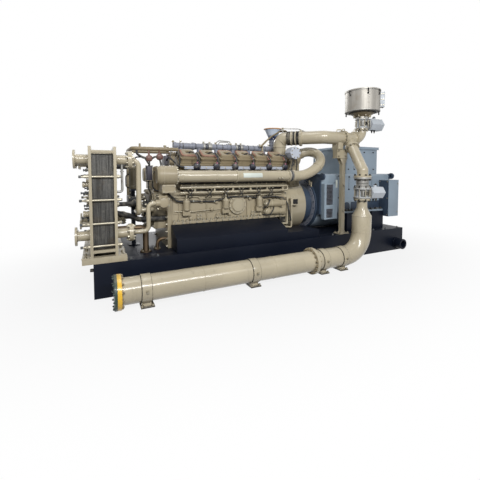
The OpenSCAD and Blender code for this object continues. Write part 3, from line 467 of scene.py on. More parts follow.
def soften(mesh, bevel, crease=30.0, flatten=False):
    """Merges a mesh, rounds its edges by bevel millimetres and marks what stays sharp."""
    work = bmesh.new()
    work.from_mesh(mesh)
    bmesh.ops.remove_doubles(work, verts=work.verts, dist=0.00002)
    bmesh.ops.dissolve_degenerate(work, edges=work.edges, dist=0.00001)
    if flatten:
        bmesh.ops.dissolve_limit(work, angle_limit=math.radians(0.7), verts=work.verts,
                                 edges=work.edges)
    bmesh.ops.recalc_face_normals(work, faces=work.faces)
    limit = math.radians(crease)
    if bevel:
        edges = [e for e in work.edges if len(e.link_faces) == 2 and e.calc_face_angle() > limit]
        bmesh.ops.bevel(work, geom=edges, offset=bevel * MM, segments=2, profile=0.7,
                        affect="EDGES", clamp_overlap=True)
    for edge in work.edges:
        edge.smooth = len(edge.link_faces) == 2 and edge.calc_face_angle() < limit
    for face in work.faces:
        face.smooth = True
    work.to_mesh(mesh)
    work.free()


def seat(name, mesh, finish, stands_for=()):
    """Links a finished mesh, paints it and lets it ride on the machine."""
    thing = bpy.data.objects.new(name, mesh)
    bpy.context.scene.collection.objects.link(thing)
    if finish:
        mesh.materials.clear()
        mesh.materials.append(finish)
    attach(thing, "root")
    finish in SLOT_OF
    if stands_for:
        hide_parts(*stands_for)
    return thing


def piece(name, shapes, finish, bevel=1.5, stands_for=()):
    """Makes one mesh of some shapes."""
    shape = join(shapes) if isinstance(shapes, list) else shapes
    mesh = bpy.data.meshes.new(name)
    mesh.from_pydata([v * MM for v in shape.verts], [], shape.faces)
    soften(mesh, bevel)
    return seat(name, mesh, finish, stands_for)


def twins(name, shapes, *finish_and_bevel):
    """A piece of the near side's shapes and their mirror images."""
    return piece(name, [pair(shape) for shape in shapes], *finish_and_bevel)


def dress(node, finish, bevel):
    """A rounded copy of a solid, which stands for it."""
    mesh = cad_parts[node].data.copy()
    soften(mesh, bevel, crease=28.0, flatten=True)
    return seat(node + "_skin", mesh, finish, [node])


# %% [markdown]
# Screws, slats and plates repeat by the hundred, so Geometry Nodes place them. The first tree
# bolts things down: it takes loose points that carry a direction called aim, and sets a washer, a
# hexagon head and a stud end on each, every head at its own angle from a fixed seed. The second
# lays bars in a row, for louvres, plates and ribs. The third winds a ribbed hose along a line.
# Each tree ends by realising its copies and setting the finish, since an export drops instances.

# %% Three node trees
FLOAT, WHOLE = "NodeSocketFloat", "NodeSocketInt"
VECTOR, FINISH = "NodeSocketVector", "NodeSocketMaterial"


def open_tree(name, inputs):
    """A tree with a mesh input and named inputs; returns it and its inputs as wires."""
    tree = bpy.data.node_groups.new(name, "GeometryNodeTree")
    tree.interface.new_socket("Mesh", in_out="INPUT", socket_type="NodeSocketGeometry")
    for label, kind in inputs.items():
        tree.interface.new_socket(label, in_out="INPUT", socket_type=kind)
    tree.interface.new_socket("Mesh", in_out="OUTPUT", socket_type="NodeSocketGeometry")
    entry = tree.nodes.new("NodeGroupInput")
    return tree, {s.name: Wire(tree, s) for s in entry.outputs if s.name}


def close_tree(tree, geometry, finish):
    real = add(tree, "GeometryNodeRealizeInstances", [geometry])
    done = add(tree, "GeometryNodeSetMaterial", {"Geometry": real, "Material": finish})
    plug(tree, tree.nodes.new("NodeGroupOutput").inputs[0], done)
    return tree


def bolt_tree():
    tree, given = open_tree("hex bolts on marked points", {
        "Across flats": FLOAT, "Head height": FLOAT, "Seed": WHOLE, "Finish": FINISH})
    flats, height = given["Across flats"], given["Head height"]
    parts = tree.nodes.new("GeometryNodeJoinGeometry")
    for sides, radius, depth, lift in ((12, flats * 0.74, height * 0.26, height * 0.13),
                                       (6, flats * 0.577, height, height * 0.75),
                                       (8, flats * 0.3, height * 0.5, height * 1.45)):
        disc = add(tree, "GeometryNodeMeshCylinder",
                   {"Vertices": sides, "Radius": radius, "Depth": depth})
        up = add(tree, "ShaderNodeCombineXYZ", [0.0, 0.0, lift])
        disc = add(tree, "GeometryNodeTransform", {"Geometry": disc, "Translation": up})
        tree.links.new(disc.socket, parts.inputs[0])
    aim = add(tree, "GeometryNodeInputNamedAttribute", {"Name": "aim"}, data_type="FLOAT_VECTOR")
    facing = add(tree, "FunctionNodeAlignRotationToVector", {"Vector": aim}, axis="Z")
    spin = add(tree, "FunctionNodeRandomValue", {2: 0.0, 3: 1.05, 8: given["Seed"]}, output=1,
               data_type="FLOAT")
    spin = add(tree, "ShaderNodeCombineXYZ", [0.0, 0.0, spin])
    about = add(tree, "FunctionNodeEulerToRotation", [spin])
    turn = add(tree, "FunctionNodeRotateRotation", [facing, about], rotation_space="LOCAL")
    placed = add(tree, "GeometryNodeInstanceOnPoints", {
        "Points": given["Mesh"], "Instance": Wire(tree, parts.outputs[0]), "Rotation": turn})
    return close_tree(tree, placed, given["Finish"])


def row_tree():
    tree, given = open_tree("row of bars", {
        "Count": WHOLE, "Start": VECTOR, "Step": VECTOR, "Bar": VECTOR, "Tilt": VECTOR,
        "Jitter": VECTOR, "Seed": WHOLE, "Finish": FINISH})
    line = add(tree, "GeometryNodeMeshLine", {
        "Count": given["Count"], "Start Location": given["Start"], "Offset": given["Step"]})
    jitter = given["Jitter"]
    back = add(tree, "ShaderNodeVectorMath", {0: jitter, "Scale": -1.0}, operation="SCALE")
    shake = add(tree, "FunctionNodeRandomValue", {0: back, 1: jitter, 8: given["Seed"]},
                data_type="FLOAT_VECTOR")
    line = add(tree, "GeometryNodeSetPosition", {"Geometry": line, "Offset": shake})
    bar = add(tree, "GeometryNodeMeshCube", {"Size": given["Bar"]})
    tilt = add(tree, "FunctionNodeEulerToRotation", [given["Tilt"]])
    bars = add(tree, "GeometryNodeInstanceOnPoints", {
        "Points": line, "Instance": bar, "Rotation": tilt})
    return close_tree(tree, bars, given["Finish"])


def hose_tree():
    tree, given = open_tree("ribbed hose along a line", {
        "Radius": FLOAT, "Rib depth": FLOAT, "Rib pitch": FLOAT, "Finish": FINISH})
    curve = add(tree, "GeometryNodeMeshToCurve", [given["Mesh"]])
    pitch = given["Rib pitch"]
    curve = add(tree, "GeometryNodeResampleCurve", {"Curve": curve, "Length": pitch / 4},
                mode="LENGTH")
    along = add(tree, "GeometryNodeSplineParameter", output=1)
    wave = (along / pitch * (2 * math.pi)).maths("SINE")
    outline = add(tree, "GeometryNodeCurvePrimitiveCircle", {"Resolution": 14, "Radius": 1.0})
    skin = add(tree, "GeometryNodeCurveToMesh", {
        "Curve": curve, "Profile Curve": outline, "Fill Caps": True,
        "Scale": given["Radius"] + wave * given["Rib depth"]})
    return close_tree(tree, skin, given["Finish"])


BOLTS, ROW, HOSE = bolt_tree(), row_tree(), hose_tree()
print("node trees:", BOLTS.name, "-", ROW.name, "-", HOSE.name)

# %% [markdown]
# A tree runs on a small base mesh, and what it grows is kept as a plain mesh, because an export
# knows nothing of live node trees. Bolts need a point and a direction each, a row needs only its
# numbers, and a hose needs its middle line. The spots for bolts come from a circle or a grid, and
# `both` repeats them on the far side, so that no bolt is placed by hand.

# %% Growing a tree into a plain mesh
def grow(name, base, tree, finish, **inputs):
    """Runs a tree once on a base mesh and keeps the result as a plain mesh."""
    host = bpy.data.objects.new(name + "_host", base)
    bpy.context.scene.collection.objects.link(host)
    modifier = host.modifiers.new("grow", "NODES")
    modifier.node_group = tree
    for socket in tree.interface.items_tree:
        value = inputs.get(socket.name.replace(" ", "_").lower())
        if socket.name == "Finish":
            modifier[socket.identifier] = finish
        elif value is not None:
            modifier[socket.identifier] = value
    depsgraph = bpy.context.evaluated_depsgraph_get()
    mesh = bpy.data.meshes.new_from_object(host.evaluated_get(depsgraph))
    bpy.data.objects.remove(host)
    return mesh


def bolts(name, spots, flats, height=None, finish=STEEL):
    """Hexagon bolts at (point, direction) spots."""
    start = bpy.data.meshes.new(name)
    start.from_pydata([Vector(point) * MM for point, _ in spots], [], [])
    aim = start.attributes.new("aim", "FLOAT_VECTOR", "POINT")
    aim.data.foreach_set("vector", [c for _, direction in spots for c in Vector(direction)])
    mesh = grow(name, start, BOLTS, finish, across_flats=flats * MM,
                head_height=(height or flats * 0.6) * MM, seed=3)
    return seat(name, mesh, finish)


def row(name, count, start, step, bar, finish, tilt=(0, 0, 0), jitter=(0, 0, 0), seed=1):
    """The mesh of bars in a row; sizes in millimetres and tilt in degrees."""
    empty = bpy.data.meshes.new(name)
    metres = {"start": start, "step": step, "bar": bar, "jitter": jitter}
    metres = {key: [c * MM for c in value] for key, value in metres.items()}
    return grow(name, empty, ROW, finish, count=count, seed=seed,
                tilt=[math.radians(a) for a in tilt], **metres)


def rows(name, meshes, finish):
    """One piece of several grown meshes."""
    work = bmesh.new()
    for mesh in meshes:
        work.from_mesh(mesh)
    whole = bpy.data.meshes.new(name)
    work.to_mesh(whole)
    work.free()
    return seat(name, whole, finish)


def hose(name, points, radius, bend, stands_for=()):
    """A ribbed rubber hose through corner points."""
    rib_depth, rib_pitch = 2.0, 14.0
    path = route(points, bend)
    start = bpy.data.meshes.new(name)
    start.from_pydata([p * MM for p in path], [(i, i + 1) for i in range(len(path) - 1)], [])
    mesh = grow(name, start, HOSE, RUBBER, radius=radius * MM, rib_depth=rib_depth * MM,
                rib_pitch=rib_pitch * MM)
    return seat(name, mesh, RUBBER, stands_for)


def circle(centre, axis, diameter, count, facing=None, offset=0.5):
    """Spots on a bolt circle round an axis."""
    at = stand(centre, axis)
    angles = [2 * math.pi * (i + offset) / count for i in range(count)]
    return [(at @ (Vector((math.cos(a), math.sin(a), 0)) * diameter / 2), facing or axis)
            for a in angles]


def grid(xs, ys, zs, direction):
    """Spots wherever some x, y and z cross; each of the three is one number or several."""
    xs, ys, zs = (s if hasattr(s, "__len__") else [s] for s in (xs, ys, zs))
    return [((x, y, z), direction) for x in xs for y in ys for z in zs]


def both(spots):
    """Spots on the near side and their mirror images."""
    flip = MIRROR.to_3x3()
    return spots + [(flip @ Vector(point), flip @ Vector(facing)) for point, facing in spots]


# %% [markdown]
# Most of the machine is welded or cast, and its solids already have the right shape. Their edges
# only need rounding: 3 mm on plate and pipe flanges, 6 mm on castings, 1 or 2 mm on thin sheet.
# What the solids are too plain for is left out of this list and built further down.

# %% Dress the solids
DRESSING = {
    NAVY: (3, "skid_girders skid_cross_members deck_plates lifting_trunnions engine_pedestals "
              "generator_pedestals oil_pan front_stand"),
    CREAM: (3, "intake_manifolds charge_air_tubes side_rails flywheel_housing exchanger_frames "
               "exchanger_base coolant_pipes gas_riser mixing_tee air_elbow support_post"),
    CAST_CREAM: (6, "crankcase crankcase_covers front_gear_cover water_pump starter_motors "
                    "intake_coolers turbo_housing"),
    # front_canister's olive brown is painted shade.
    SHADE: (4, "front_canister"),
    DARK_CAST: (6, "cylinder_heads water_crossover"),
    PIPE_CREAM: (3, "gas_pipe"),
    SADDLE: (3, "pipe_saddles"),
    MANIFOLD: (3, "exhaust_manifold"),
    BLUE: (3, "generator_body louvre_boxes terminal_box generator_side_box"),
    DEEP_BLUE: (3, "generator_bell generator_end_plates"),
    ACTUATOR: (4, "valve_actuators air_valve gas_valve"),
    THROTTLE: (4, "throttle_actuator"),
    STAINLESS: (2, "gas_bellows"),
    FILTER: (2, "air_filter"),
    GREEN: (2, "gas_inlet_cover"),
    DAMPER: (3, "vibration_damper front_pump_block"),
    COPPER: (1, "drain_pipes"),
    RAIL_BLUE: (4, "ignition_rails"),
    STEEL: (1, "exchanger_tie_rods"),
}
total = 0
for finish, (bevel, names) in DRESSING.items():
    for node in names.split():
        total += len(dress(node, finish, bevel).data.polygons)
print("faces in all dressed solids:", total)

# %% [markdown]
# The rocker covers are the face of this engine. Each is a casting in three storeys, with a well in
# its lid where the spark plug lead goes down; a near-black boss in each well paints its shade. One
# loft does it: rounded rectangles stacked up the cylinder, and then the same number of points drawn
# in to a circle and pushed down. BANK leans everything out by 25 degrees, so the castings can be
# drawn upright.

# %% Rocker covers
CYLINDERS = [-1350 + 280 * i for i in range(6)]
CRANK = 846
BANK = Matrix.Translation((0, 0, CRANK)) @ Matrix.Rotation(math.radians(25), 4, "X")
WELL_X, WELL_Y = 10, -18


def on_bank(shape, places=CYLINDERS):
    """A shape that is drawn upright, leaned out and repeated along both banks."""
    return [pair(shape.put(BANK).moved(x=x)) for x in places]


def bank_spots(xs, ys, zs, direction):
    """Spots that are drawn upright over one cylinder, leaned out and repeated."""
    return both([(BANK @ Vector(point) + Vector((x, 0, 0)), BANK.to_3x3() @ Vector(facing))
                 for x in CYLINDERS for point, facing in grid(xs, ys, zs, direction)])


def cover_casting():
    storeys = [(121, 128, 790, 24), (121, 128, 809, 24), (109, 117, 813, 30), (107, 115, 845, 30),
               (116, 123, 849, 28), (116, 123, 866, 28), (103, 109, 871, 30), (101, 106, 888, 30),
               (99, 104, 890, 30), (97, 101, 906, 28), (84, 86, 918, 24)]
    rings = [rounded(half_x, half_y, radius, z) for half_x, half_y, z, radius in storeys]
    well = [round_ring(r, z, WELL_X, WELL_Y) for r, z in ((53, 918), (48, 914), (44, 893))]
    return loft(rings + well)


def sealant(first):
    """A thick bead from the coil's corner round two or three sides of the lid."""
    if first:
        lid = [(-90, 74, 909), (-95, -98, 901), (95, -99, 901), (106, -121, 866)]
    else:
        lid = [(-95, -50, 901), (-93, 95, 907), (92, 96, 907), (96, -99, 899), (106, -121, 866)]
    path = route(lid, 30, 6)
    rand = random.Random(7 + first)
    return sweep(path, [rand.uniform(12.0, 16.5) for _ in path], 10)


plug_profile = [(41, 893), (41, 897), (24, 899), (22, 909), (15, 912), (0.5, 912)]
beads = on_bank(sealant(True), CYLINDERS[:2]) + on_bank(sealant(False), CYLINDERS[2:])
piece("rocker_cover_castings", on_bank(cover_casting()), DARK_CAST, 3,
      stands_for=["rocker_covers"])
# Near-black bosses fill the wells' bottoms: painted shade in the wells.
piece("spark_plug_wells", on_bank(turned(plug_profile, 20).moved(WELL_X, WELL_Y)), DARK, 1)
piece("sealant_beads", beads, SEALANT, 0)
bolts("rocker_cover_bolts", bank_spots((-112.32, 112.32), (-112, -38, 38, 112), 809, UP), 17)
print("covers on", 2 * len(CYLINDERS), "cylinders")

# %% [markdown]
# Below each cover sits its ignition coil: a dark moulded block with a pink collar and a short
# lead, hung on a blue-grey rail that runs the whole length of the bank. Between the covers, thin
# black drain tubes drop into the valley of every gap.

# %% Coils, leads and drain tubes
COIL_X, COIL_Y = 87, -202
coil = loft([rounded(half_x, half_y, 12, z, COIL_X, COIL_Y) for half_x, half_y, z in
             ((18, 14, 728), (38, 24, 750), (48, 30, 776), (48, 30, 796), (36, 26, 822),
              (20, 18, 834))])
piece("ignition_coils", on_bank(coil), COIL, 2)
collar = turned([(13, 0), (15, 4), (15, 12), (11, 16), (10, 24), (8, 27), (0.5, 27)], 20)
piece("pink_lead_collars", on_bank(collar.moved(COIL_X, COIL_Y, 830)), PINK, 1)
lead = pipe([(COIL_X, COIL_Y, 856), (90, -196, 905), (70, -120, 938), (30, -40, 940),
             (WELL_X, WELL_Y, 905)], 7, 40, 10)
piece("ignition_leads", on_bank(lead), COIL, 0)
piece("coil_brackets", on_bank(block((60, -196, 744), (114, -150, 750), 4)), STEEL, 1)
bolts("ignition_rail_screws", both(grid([x - 62 for x in CYLINDERS], -520, 1459, OUT)), 14)
drain = pipe([(140, y, z) for y, z in
              ((-128, 690), (-150, 800), (-90, 884), (60, 890), (108, 800))], 8, 40, 10)
piece("gap_tubes", on_bank(drain, CYLINDERS[:5] + [CYLINDERS[0] - 272]), RUBBER, 0)
bolts("head_side_bolts", bank_spots((-112, 112), -150, (668, 760), OUT), 24)
print("ignition dressed")

# %% [markdown]
# Along the side, pipes and cables hide the crankcase. The thick intake tube carries a blank white
# plate bent to its curve. Under it lies a cable tray, painted dark olive brown for the shade under
# the tube, then the cream rail, and from the rail black wires hang in crossed loops down to the
# injectors.

# %% Intake tube fittings, cable tray and wire loops
TUBE_Y, TUBE_Z = -600, 1343


def bent_plate(x0, x1, low, high, radius, thick):
    """A plate rolled round the intake tube, between two angles."""
    angles = [math.radians(low + (high - low) * i / 10) for i in range(11)]
    arcs = [(radius + thick, angles), (radius - 2, angles[::-1])]
    return slab([(TUBE_Y - r * math.cos(a), TUBE_Z + r * math.sin(a))
                 for r, arc in arcs for a in arc], x0, x1)


piece("blank_plate", bent_plate(-646, -345, -14, 32, 79.5, 2.5), LABEL, 0.8)
twins("tube_bands", [bent_plate(x, x + 16, -150, 150, 78, 4) for x in (-1500, -1040, -470, 60)],
      CREAM, 1.5)
twins("tube_sensors", [lathe([(15, -8), (15, 14), (9, 18), (9, 34), (0.5, 36)], (x, -673, 1314),
                             (0, -0.85, -0.5), 16) for x in (-62, -8)], STEEL, 1)
# The tray's dark olive brown is painted shade under the tube.
twins("cable_tray", [slab([(-545, 1209), (-470, 1209), (-470, 1216), (-478, 1243), (-537, 1243),
                           (-545, 1231)], -1492, 158)], SHADE, 2)
clips = [row("clips", 17, (-1465, side * 508, 1232), (98, 0, 0), (16, 80, 24), DARK_CAST,
             (0, 9, 0), (26, 5, 4), 5) for side in (-1, 1)]
rows("cable_tray_clips", clips, DARK_CAST)
twins("tray_cables", [pipe([(-1490, -520 + 14 * k, 1250 + 5 * (k % 2)), (-900, -516 + 12 * k, 1256),
                            (-300, -522 + 13 * k, 1249 + 4 * (k % 2)), (156, -518 + 12 * k, 1253)],
                           8, 90, 10) for k in range(4)], RUBBER, 0)

loops, plugs = [], []
for x in (-1364, -1094, -853, -616, -334, -118):
    for lean in (-1, 1):
        loops.append(pipe([(x - 26 * lean, -520, 1174), (x - 30 * lean, -552, 1150),
                           (x + 4 * lean, -556, 1098), (x + 34 * lean, -530, 1060),
                           (x + 22 * lean, -420, 1040)], 6, 30, 8))
        plugs.append(knob([(11, 0), (13, 4), (13, 22), (7, 26)], (x - 27 * lean, -529, 1178),
                          (-0.1 * lean, -0.7, -0.6), 12))
twins("injector_wires", loops, RUBBER, 0)
twins("injector_plugs", plugs, STEEL, 1)
print(len(loops), "wire loops")

# %% [markdown]
# The crankcase is one big casting with doors. What makes it look like one is its bolting, its
# ribs, and the small pots, caps and pipes that are fixed to it.

# %% Crankcase bolts, ribs and small fittings
DOOR_X, DOOR_Z = -630, 922
POTS = (-1400, -832, -286)
door_spots = circle((DOOR_X, -446, DOOR_Z), OUT, 236, 12)
for x in (-1210, -930, -370):
    door_spots += circle((x, -436, 784), OUT, 60, 4)
bolts("crankcase_bolts", both(door_spots + grid(range(-1540, 160, 96), -460, 717, OUT)), 20)
bolts("foot_flange_bolts", both(grid(range(-1560, 180, 58), -441, 735, UP)), 24)
ribs = [block((x - 9, -436, 736), (x + 9, -416, 1100), 3)
        for x in (-1490, -1100, -820, -470, -190, 40)]
ribs += [block((-1560, -432, 1092), (180, -416, 1106), 3),
         block((-1560, -430, 836), (-780, -416, 846), 3)]
twins("crankcase_ribs", ribs, CAST_CREAM, 4)
caps = []
for x in POTS:
    cap = turned([(50, 0), (50, 10), (40, 14), (40, 26), (18, 30), (16, 44), (0.5, 44)], 28)
    caps += [cap.moved(x, -482, 994), turned([(52, 0), (52, 9)], 28).moved(x, -482, 900)]
twins("pot_caps", caps, CREAM, 2)
twins("pot_pipes",
      [pipe([(x, -482, 1036), (x, -482, 1085), (x + 40, -440, 1110), (x + 40, -412, 1110)],
            11, 26, 12) for x in POTS], CREAM, 0)
twins("small_plugs", [knob([(30, 0), (30, 12), (22, 16), (22, 40), (12, 44)], (x, -420, z), OUT)
                      for x, z in ((-1180, 1000), (-960, 980), (-1030, 880), (-430, 1010),
                                   (-250, 760), (-1330, 770), (-760, 800))], CAST_CREAM, 2)
runs = [pipe([(-1560, -428, 1062), (-1230, -440, 1062), (-1200, -440, 1036), (-700, -440, 1036),
              (-660, -440, 1060), (120, -440, 1060), (150, -420, 1060)], 10, 24, 12),
        pipe([(-1550, -426, 872), (-1480, -446, 872), (-1300, -446, 860), (-1120, -446, 872),
              (-800, -430, 872), (-780, -418, 872)], 8, 24, 12)]
twins("side_fuel_pipes", runs, CREAM, 0)
print("crankcase dressed")

# %% [markdown]
# Low on each side, two starter motors lie one above the other against the flywheel housing. They
# are round bodies, so a few turned rings and a nose tell them from plain cylinders. Beside them a
# speed sensor hangs in a frame of square tube, which is a pipe with four sides on a bent route.

# %% Starter motors and flywheel side
starter = []
for z in (921, 801):
    starter += [lathe([(54, 0), (56, 3), (56, 9), (54, 12)], (x, -482, z), ALONG, 32)
                for x in (-172, -96, 60, 110)]
    starter.append(knob([(44, 0), (40, 10), (16, 14), (16, 24)], (-180, -482, z), BACK, 24))
twins("starter_rings", starter, CREAM, 1)
bolts("starter_bolts", both(grid(90, (-508, -440), (774, 862, 948), BACK)), 22)
cables = [pipe(points, 9, 30, 10) for points in (
    [(-130, -500, 985), (-150, -560, 980), (-190, -560, 900), (-230, -500, 860), (-250, -430, 850)],
    [(-60, -520, 868), (-90, -570, 850), (-140, -560, 760), (-200, -470, 752), (-215, -425, 752)])]
twins("starter_cables", cables, RUBBER, 0)
stays = [block((x, -500, z), (x + 30, -436, z + 22), 3)
         for x, z in ((268, 960), (268, 600), (94, 548))]
twins("speed_sensor_frame", [pipe([(282, -500, 995), (282, -500, 532), (94, -500, 560)], 15, 20, 4),
                             block((262, -516, 880), (408, -500, 986), 4)] + stays, CREAM, 3)
twins("speed_sensor_window", [block((300, -519, 894), (392, -512, 972), 3)], DARK, 1)
# A near-black plate inside the frame paints the shade between the frame and the pedestal.
twins("speed_sensor_shield", [block((100, -446, 566), (280, -437, 800), 3)], DARK, 1)
bolts("flywheel_rim_bolts", circle((234, 0, CRANK), ALONG, 874, 30), 18, finish=DEEP_BLUE)
print("flywheel side dressed")

# %% [markdown]
# Between the heat exchangers and the gear case stands the plumbing that a photographer never
# tidies: a black stand with a pump block on it, a filter canister, fat rubber hoses and a brown
# drain pipe. The solids have their places; the hoses are grown again with their ribs.

# %% Front end plumbing
STAND_X = -2026
hose("front_hose_upper", [(-2270, 400, 1480), (STAND_X, 400, 1480), (STAND_X, 100, 1480),
                          (STAND_X, 100, 1070)], 38, 120, ["front_hoses"])
hose("front_hose_lower", [(STAND_X, 160, 1000), (STAND_X, 290, 1000), (-1800, 290, 1000)], 28, 90)
hose("front_hose_near", [(STAND_X, -146, 1000), (STAND_X, -400, 1000), (-2270, -400, 1000)], 28, 90)
hose("front_hose_low", [(-2270, -368, 890), (-2120, -368, 850), (-1990, -368, 790),
                        (-1645, -368, 790)], 34, 80)
clamps = [lathe([(r - 3, -9), (r + 3, -9), (r + 3, 9), (r - 3, 9)], point, axis, 28)
          for point, axis, r in
          (((-2232, 400, 1480), ALONG, 40), ((STAND_X, 100, 1110), UP, 40),
           ((STAND_X, 184, 1000), (0, 1, 0), 30), ((-1830, 290, 1000), ALONG, 30),
           ((STAND_X, -176, 1000), (0, 1, 0), 30), ((-2240, -400, 1000), ALONG, 30))]
piece("hose_clamps", clamps, STEEL, 1)
bolts("front_pump_bolts", grid((-2082, -1970), -120, (944, 1056), OUT)
      + circle((-1930, -480, 406), UP, 112, 4) + circle((-1775, -400, 402), UP, 72, 4), 17)
gauge = [knob([(26, 0), (30, 4), (30, 22), (26, 26)], (-1964, -60, 1020), ALONG, 24),
         pipe([(STAND_X, -130, 1512), (STAND_X, -130, 1560), (-1990, -160, 1600),
               (-1900, -230, 1600), (-1830, -250, 1481)], 9, 40, 10),
         pipe([(-2040, 60, 1070), (-2040, 60, 1160), (-2110, 40, 1200), (-2110, 40, 1350),
               (-2052, 0, 1380)], 8, 40, 10)]
piece("front_small_pipes", gauge, RUBBER, 0)
drums = []
for x, z in ((-1850, 1578), (-1716, 1600)):
    drums.append(knob([(0.5, -30), (38, -30), (44, -24), (44, 12), (30, 18), (30, 30), (12, 34)],
                      (x, -334, z), OUT, 28))
    drums.append(pipe([(x, -316, z + 30), (x, -304, 1684)], 13, 10, 12))
piece("thermostats", drums, PRIMER, 1)
hung = [pipe(points, radius, bend, 10) for radius, bend, points in (
    (15, 40, [(-2000, -306, 1682), (-2000, -330, 1630), (-1930, -344, 1590), (-1888, -340, 1580)]),
    (13, 20, [(-1812, -340, 1580), (-1780, -350, 1600), (-1754, -340, 1600)]),
    (12, 40, [(-1716, -350, 1562), (-1716, -420, 1500), (-1716, -470, 1440), (-1690, -520, 1424)]),
    (12, 12, [(-1850, -345, 1542), (-1850, -345, 1500), (-1850, -316, 1487)]))]
piece("thermostat_hoses", hung, RUBBER, 0)
piece("skid_stub", knob([(19, -4), (19, 30), (14, 34)], (-2525, -760, 320), BACK, 24), DARK, 2)
print("front end plumbing done")

# %% [markdown]
# A filter can, a control box and a dark relay box crowd the corner above the water pump. The can
# is turned, with a rolled seam and a nut on top, as such cans are.

# %% Filter can and control boxes
can = turned([(42, 1130), (50, 1136), (50, 1150), (46, 1154), (46, 1440), (50, 1444), (50, 1462),
              (40, 1474), (14, 1476), (14, 1480), (0.5, 1480)], 32).moved(-1740, -250)
piece("filter_can", can, DARK_CAST, 1.5, stands_for=["filter_and_control_box"])
piece("control_box", [block((-1880, -320, 1290), (-1802, -190, 1485), 8),
                      block((-1870, -320.5, 1300), (-1812, -318, 1475), 4)], BOX_NAVY, 3)
piece("relay_box", block((-1640, -300, 1130), (-1590, -60, 1620), 6), BOX_NAVY, 3)
piece("control_box_trim", [block((-1884, -316, 1284), (-1798, -196, 1292), 3),
                           block((-1884, -316, 1482), (-1798, -196, 1487), 3),
                           block((-1810, -322, 1300), (-1804, -318, 1470))], CREAM, 1)
cables = [pipe(points, radius, bend, 10) for radius, bend, points in (
    (10, 40, [(-1800, -250, 1286), (-1800, -250, 1200), (-1770, -320, 1150), (-1700, -360, 1150),
              (-1660, -380, 1131)]),
    (10, 40, [(-1850, -250, 1288), (-1850, -240, 1180), (-1812, -200, 1100), (-1802, -180, 1000)]),
    (12, 60, [(-1615, -302, 1560), (-1615, -420, 1600), (-1560, -470, 1540), (-1500, -478, 1480),
              (-1434, -500, 1462)]),
    (10, 60, [(-1790, -330, 1400), (-1720, -420, 1420), (-1640, -470, 1500), (-1600, -420, 1600),
              (-1560, -340, 1690)]))]
piece("control_cables", cables, RUBBER, 0)
print("control boxes done")

# %% [markdown]
# A plate heat exchanger is a book of pressed plates squeezed between two covers. Its pages are
# what the eye sees: about fifty thin edges with gaskets between them, never quite flush. The row
# tree lays them with a few millimetres of jitter. The ports are turned with a real bore, because
# a flange without a hole reads as a lid.

# %% Heat exchangers
FRONT_X, REAR_X = -2550, -2270
PORT_Y, RETURN_Y = -640, -400
piece("plate_pack_cores", pair(block((-2520, -742, 548), (-2300, -298, 1600))), GASKET, 1,
      stands_for=["exchanger_plate_packs"])
plates = [row("plates", 50, (-2517, side * 520, 1074), (4.36, 0, 0), (2.7, 450, 1056), PACK_STEEL,
              jitter=(0, 1, 2), seed=11 + side) for side in (-1, 1)]
rows("exchanger_plates", plates, PACK_STEEL)


def flanged_port(x, way, y, z, radius, flange):
    """A short pipe with a flange and a bore that can be looked into."""
    neck = 122
    face = 149.2 if way == BACK else 150
    profile = [(radius, 0), (radius, neck), (radius + 6, neck + 6), (flange, neck + 6),
               (flange, face), (radius * 1.35, face), (radius * 1.35, face - 2),
               (radius - 6, face - 2), (radius - 6, 12), (0.5, 12)]
    return lathe(profile, (x, y, z), way, 40)


ports, holes, studs_at = [], [], []
for z in (685, 1540):
    ports += [flanged_port(FRONT_X, BACK, PORT_Y, z, 55, 104),
              flanged_port(REAR_X, ALONG, PORT_Y, z, 55, 104),
              flanged_port(FRONT_X, BACK, RETURN_Y, z - 34, 36, 66)]
    for centre, diameter, count, radius in (((-2699.2, PORT_Y, z), 168, 8, 9),
                                            ((-2699.2, RETURN_Y, z - 34), 104, 4, 7)):
        holes += [knob([(radius, 0), (radius, 0.5)], point, BACK, 12)
                  for point, _ in circle(centre, BACK, diameter, count)]
    studs_at += circle((-2098, PORT_Y, z), ALONG, 168, 8)
    studs_at += circle((-2142, PORT_Y, z), ALONG, 168, 8, BACK)
stubs = [knob([(30, 0), (30, 40), (36, 44), (36, 62), (30, 66)], (FRONT_X, PORT_Y, z), BACK, 28)
         for z in (930, 1260)]
piece("exchanger_port_pipes", [pair(shape) for shape in ports + stubs], CREAM, 1.5,
      stands_for=["exchanger_ports"])
# Near-black discs in the bolt holes and at the bottom of each bore paint their shade.
twins("port_bolt_holes", holes, DARK, 0)
twins("port_bores", [knob([(52, 0), (52, 3)], (-2565, PORT_Y, z), BACK, 32) for z in (685, 1540)],
      DARK, 0)
bolts("port_bolts", both(studs_at), 24)

rod_caps, rod_nuts = [], []
for z in (583, 831, 1090, 1349):
    for y in (-775, -265):
        rod_caps += [knob([(15, 0), (15, 22), (11, 26)], (-2644, y, z), ALONG, 16),
                     knob([(15, 0), (15, 14), (11, 18)], (-2234, y, z), ALONG, 16)]
        rod_nuts += [((-2568, y, z), BACK), ((-2252, y, z), ALONG)]
twins("rod_end_caps", rod_caps, CAP, 1)
bolts("rod_lock_nuts", both(rod_nuts), 30, 20)
cocks = []
for z, reach in ((780, 62), (870, 84), (1010, 50), (1160, 78), (1420, 46)):
    cocks += [knob([(13, 0), (13, 20), (18, 22), (18, 34), (9, 38), (9, reach), (14, reach),
                    (14, reach + 10)], (FRONT_X, -470 - 0.2 * (z - 780), z), BACK, 16),
              lathe([(16, 0), (16, 16), (22, 18), (22, 30), (0.5, 32)], (FRONT_X, -330, z + 40),
                    BACK, 12)]
twins("drain_cocks", cocks, CAP, 1)
vent = [pipe([(-2205, PORT_Y, 1488), (-2205, PORT_Y, 1170), (-2262, PORT_Y, 1170)], 14, 30, 16),
        turned([(22, 0), (22, 10)], 24).moved(-2205, PORT_Y, 1400)]
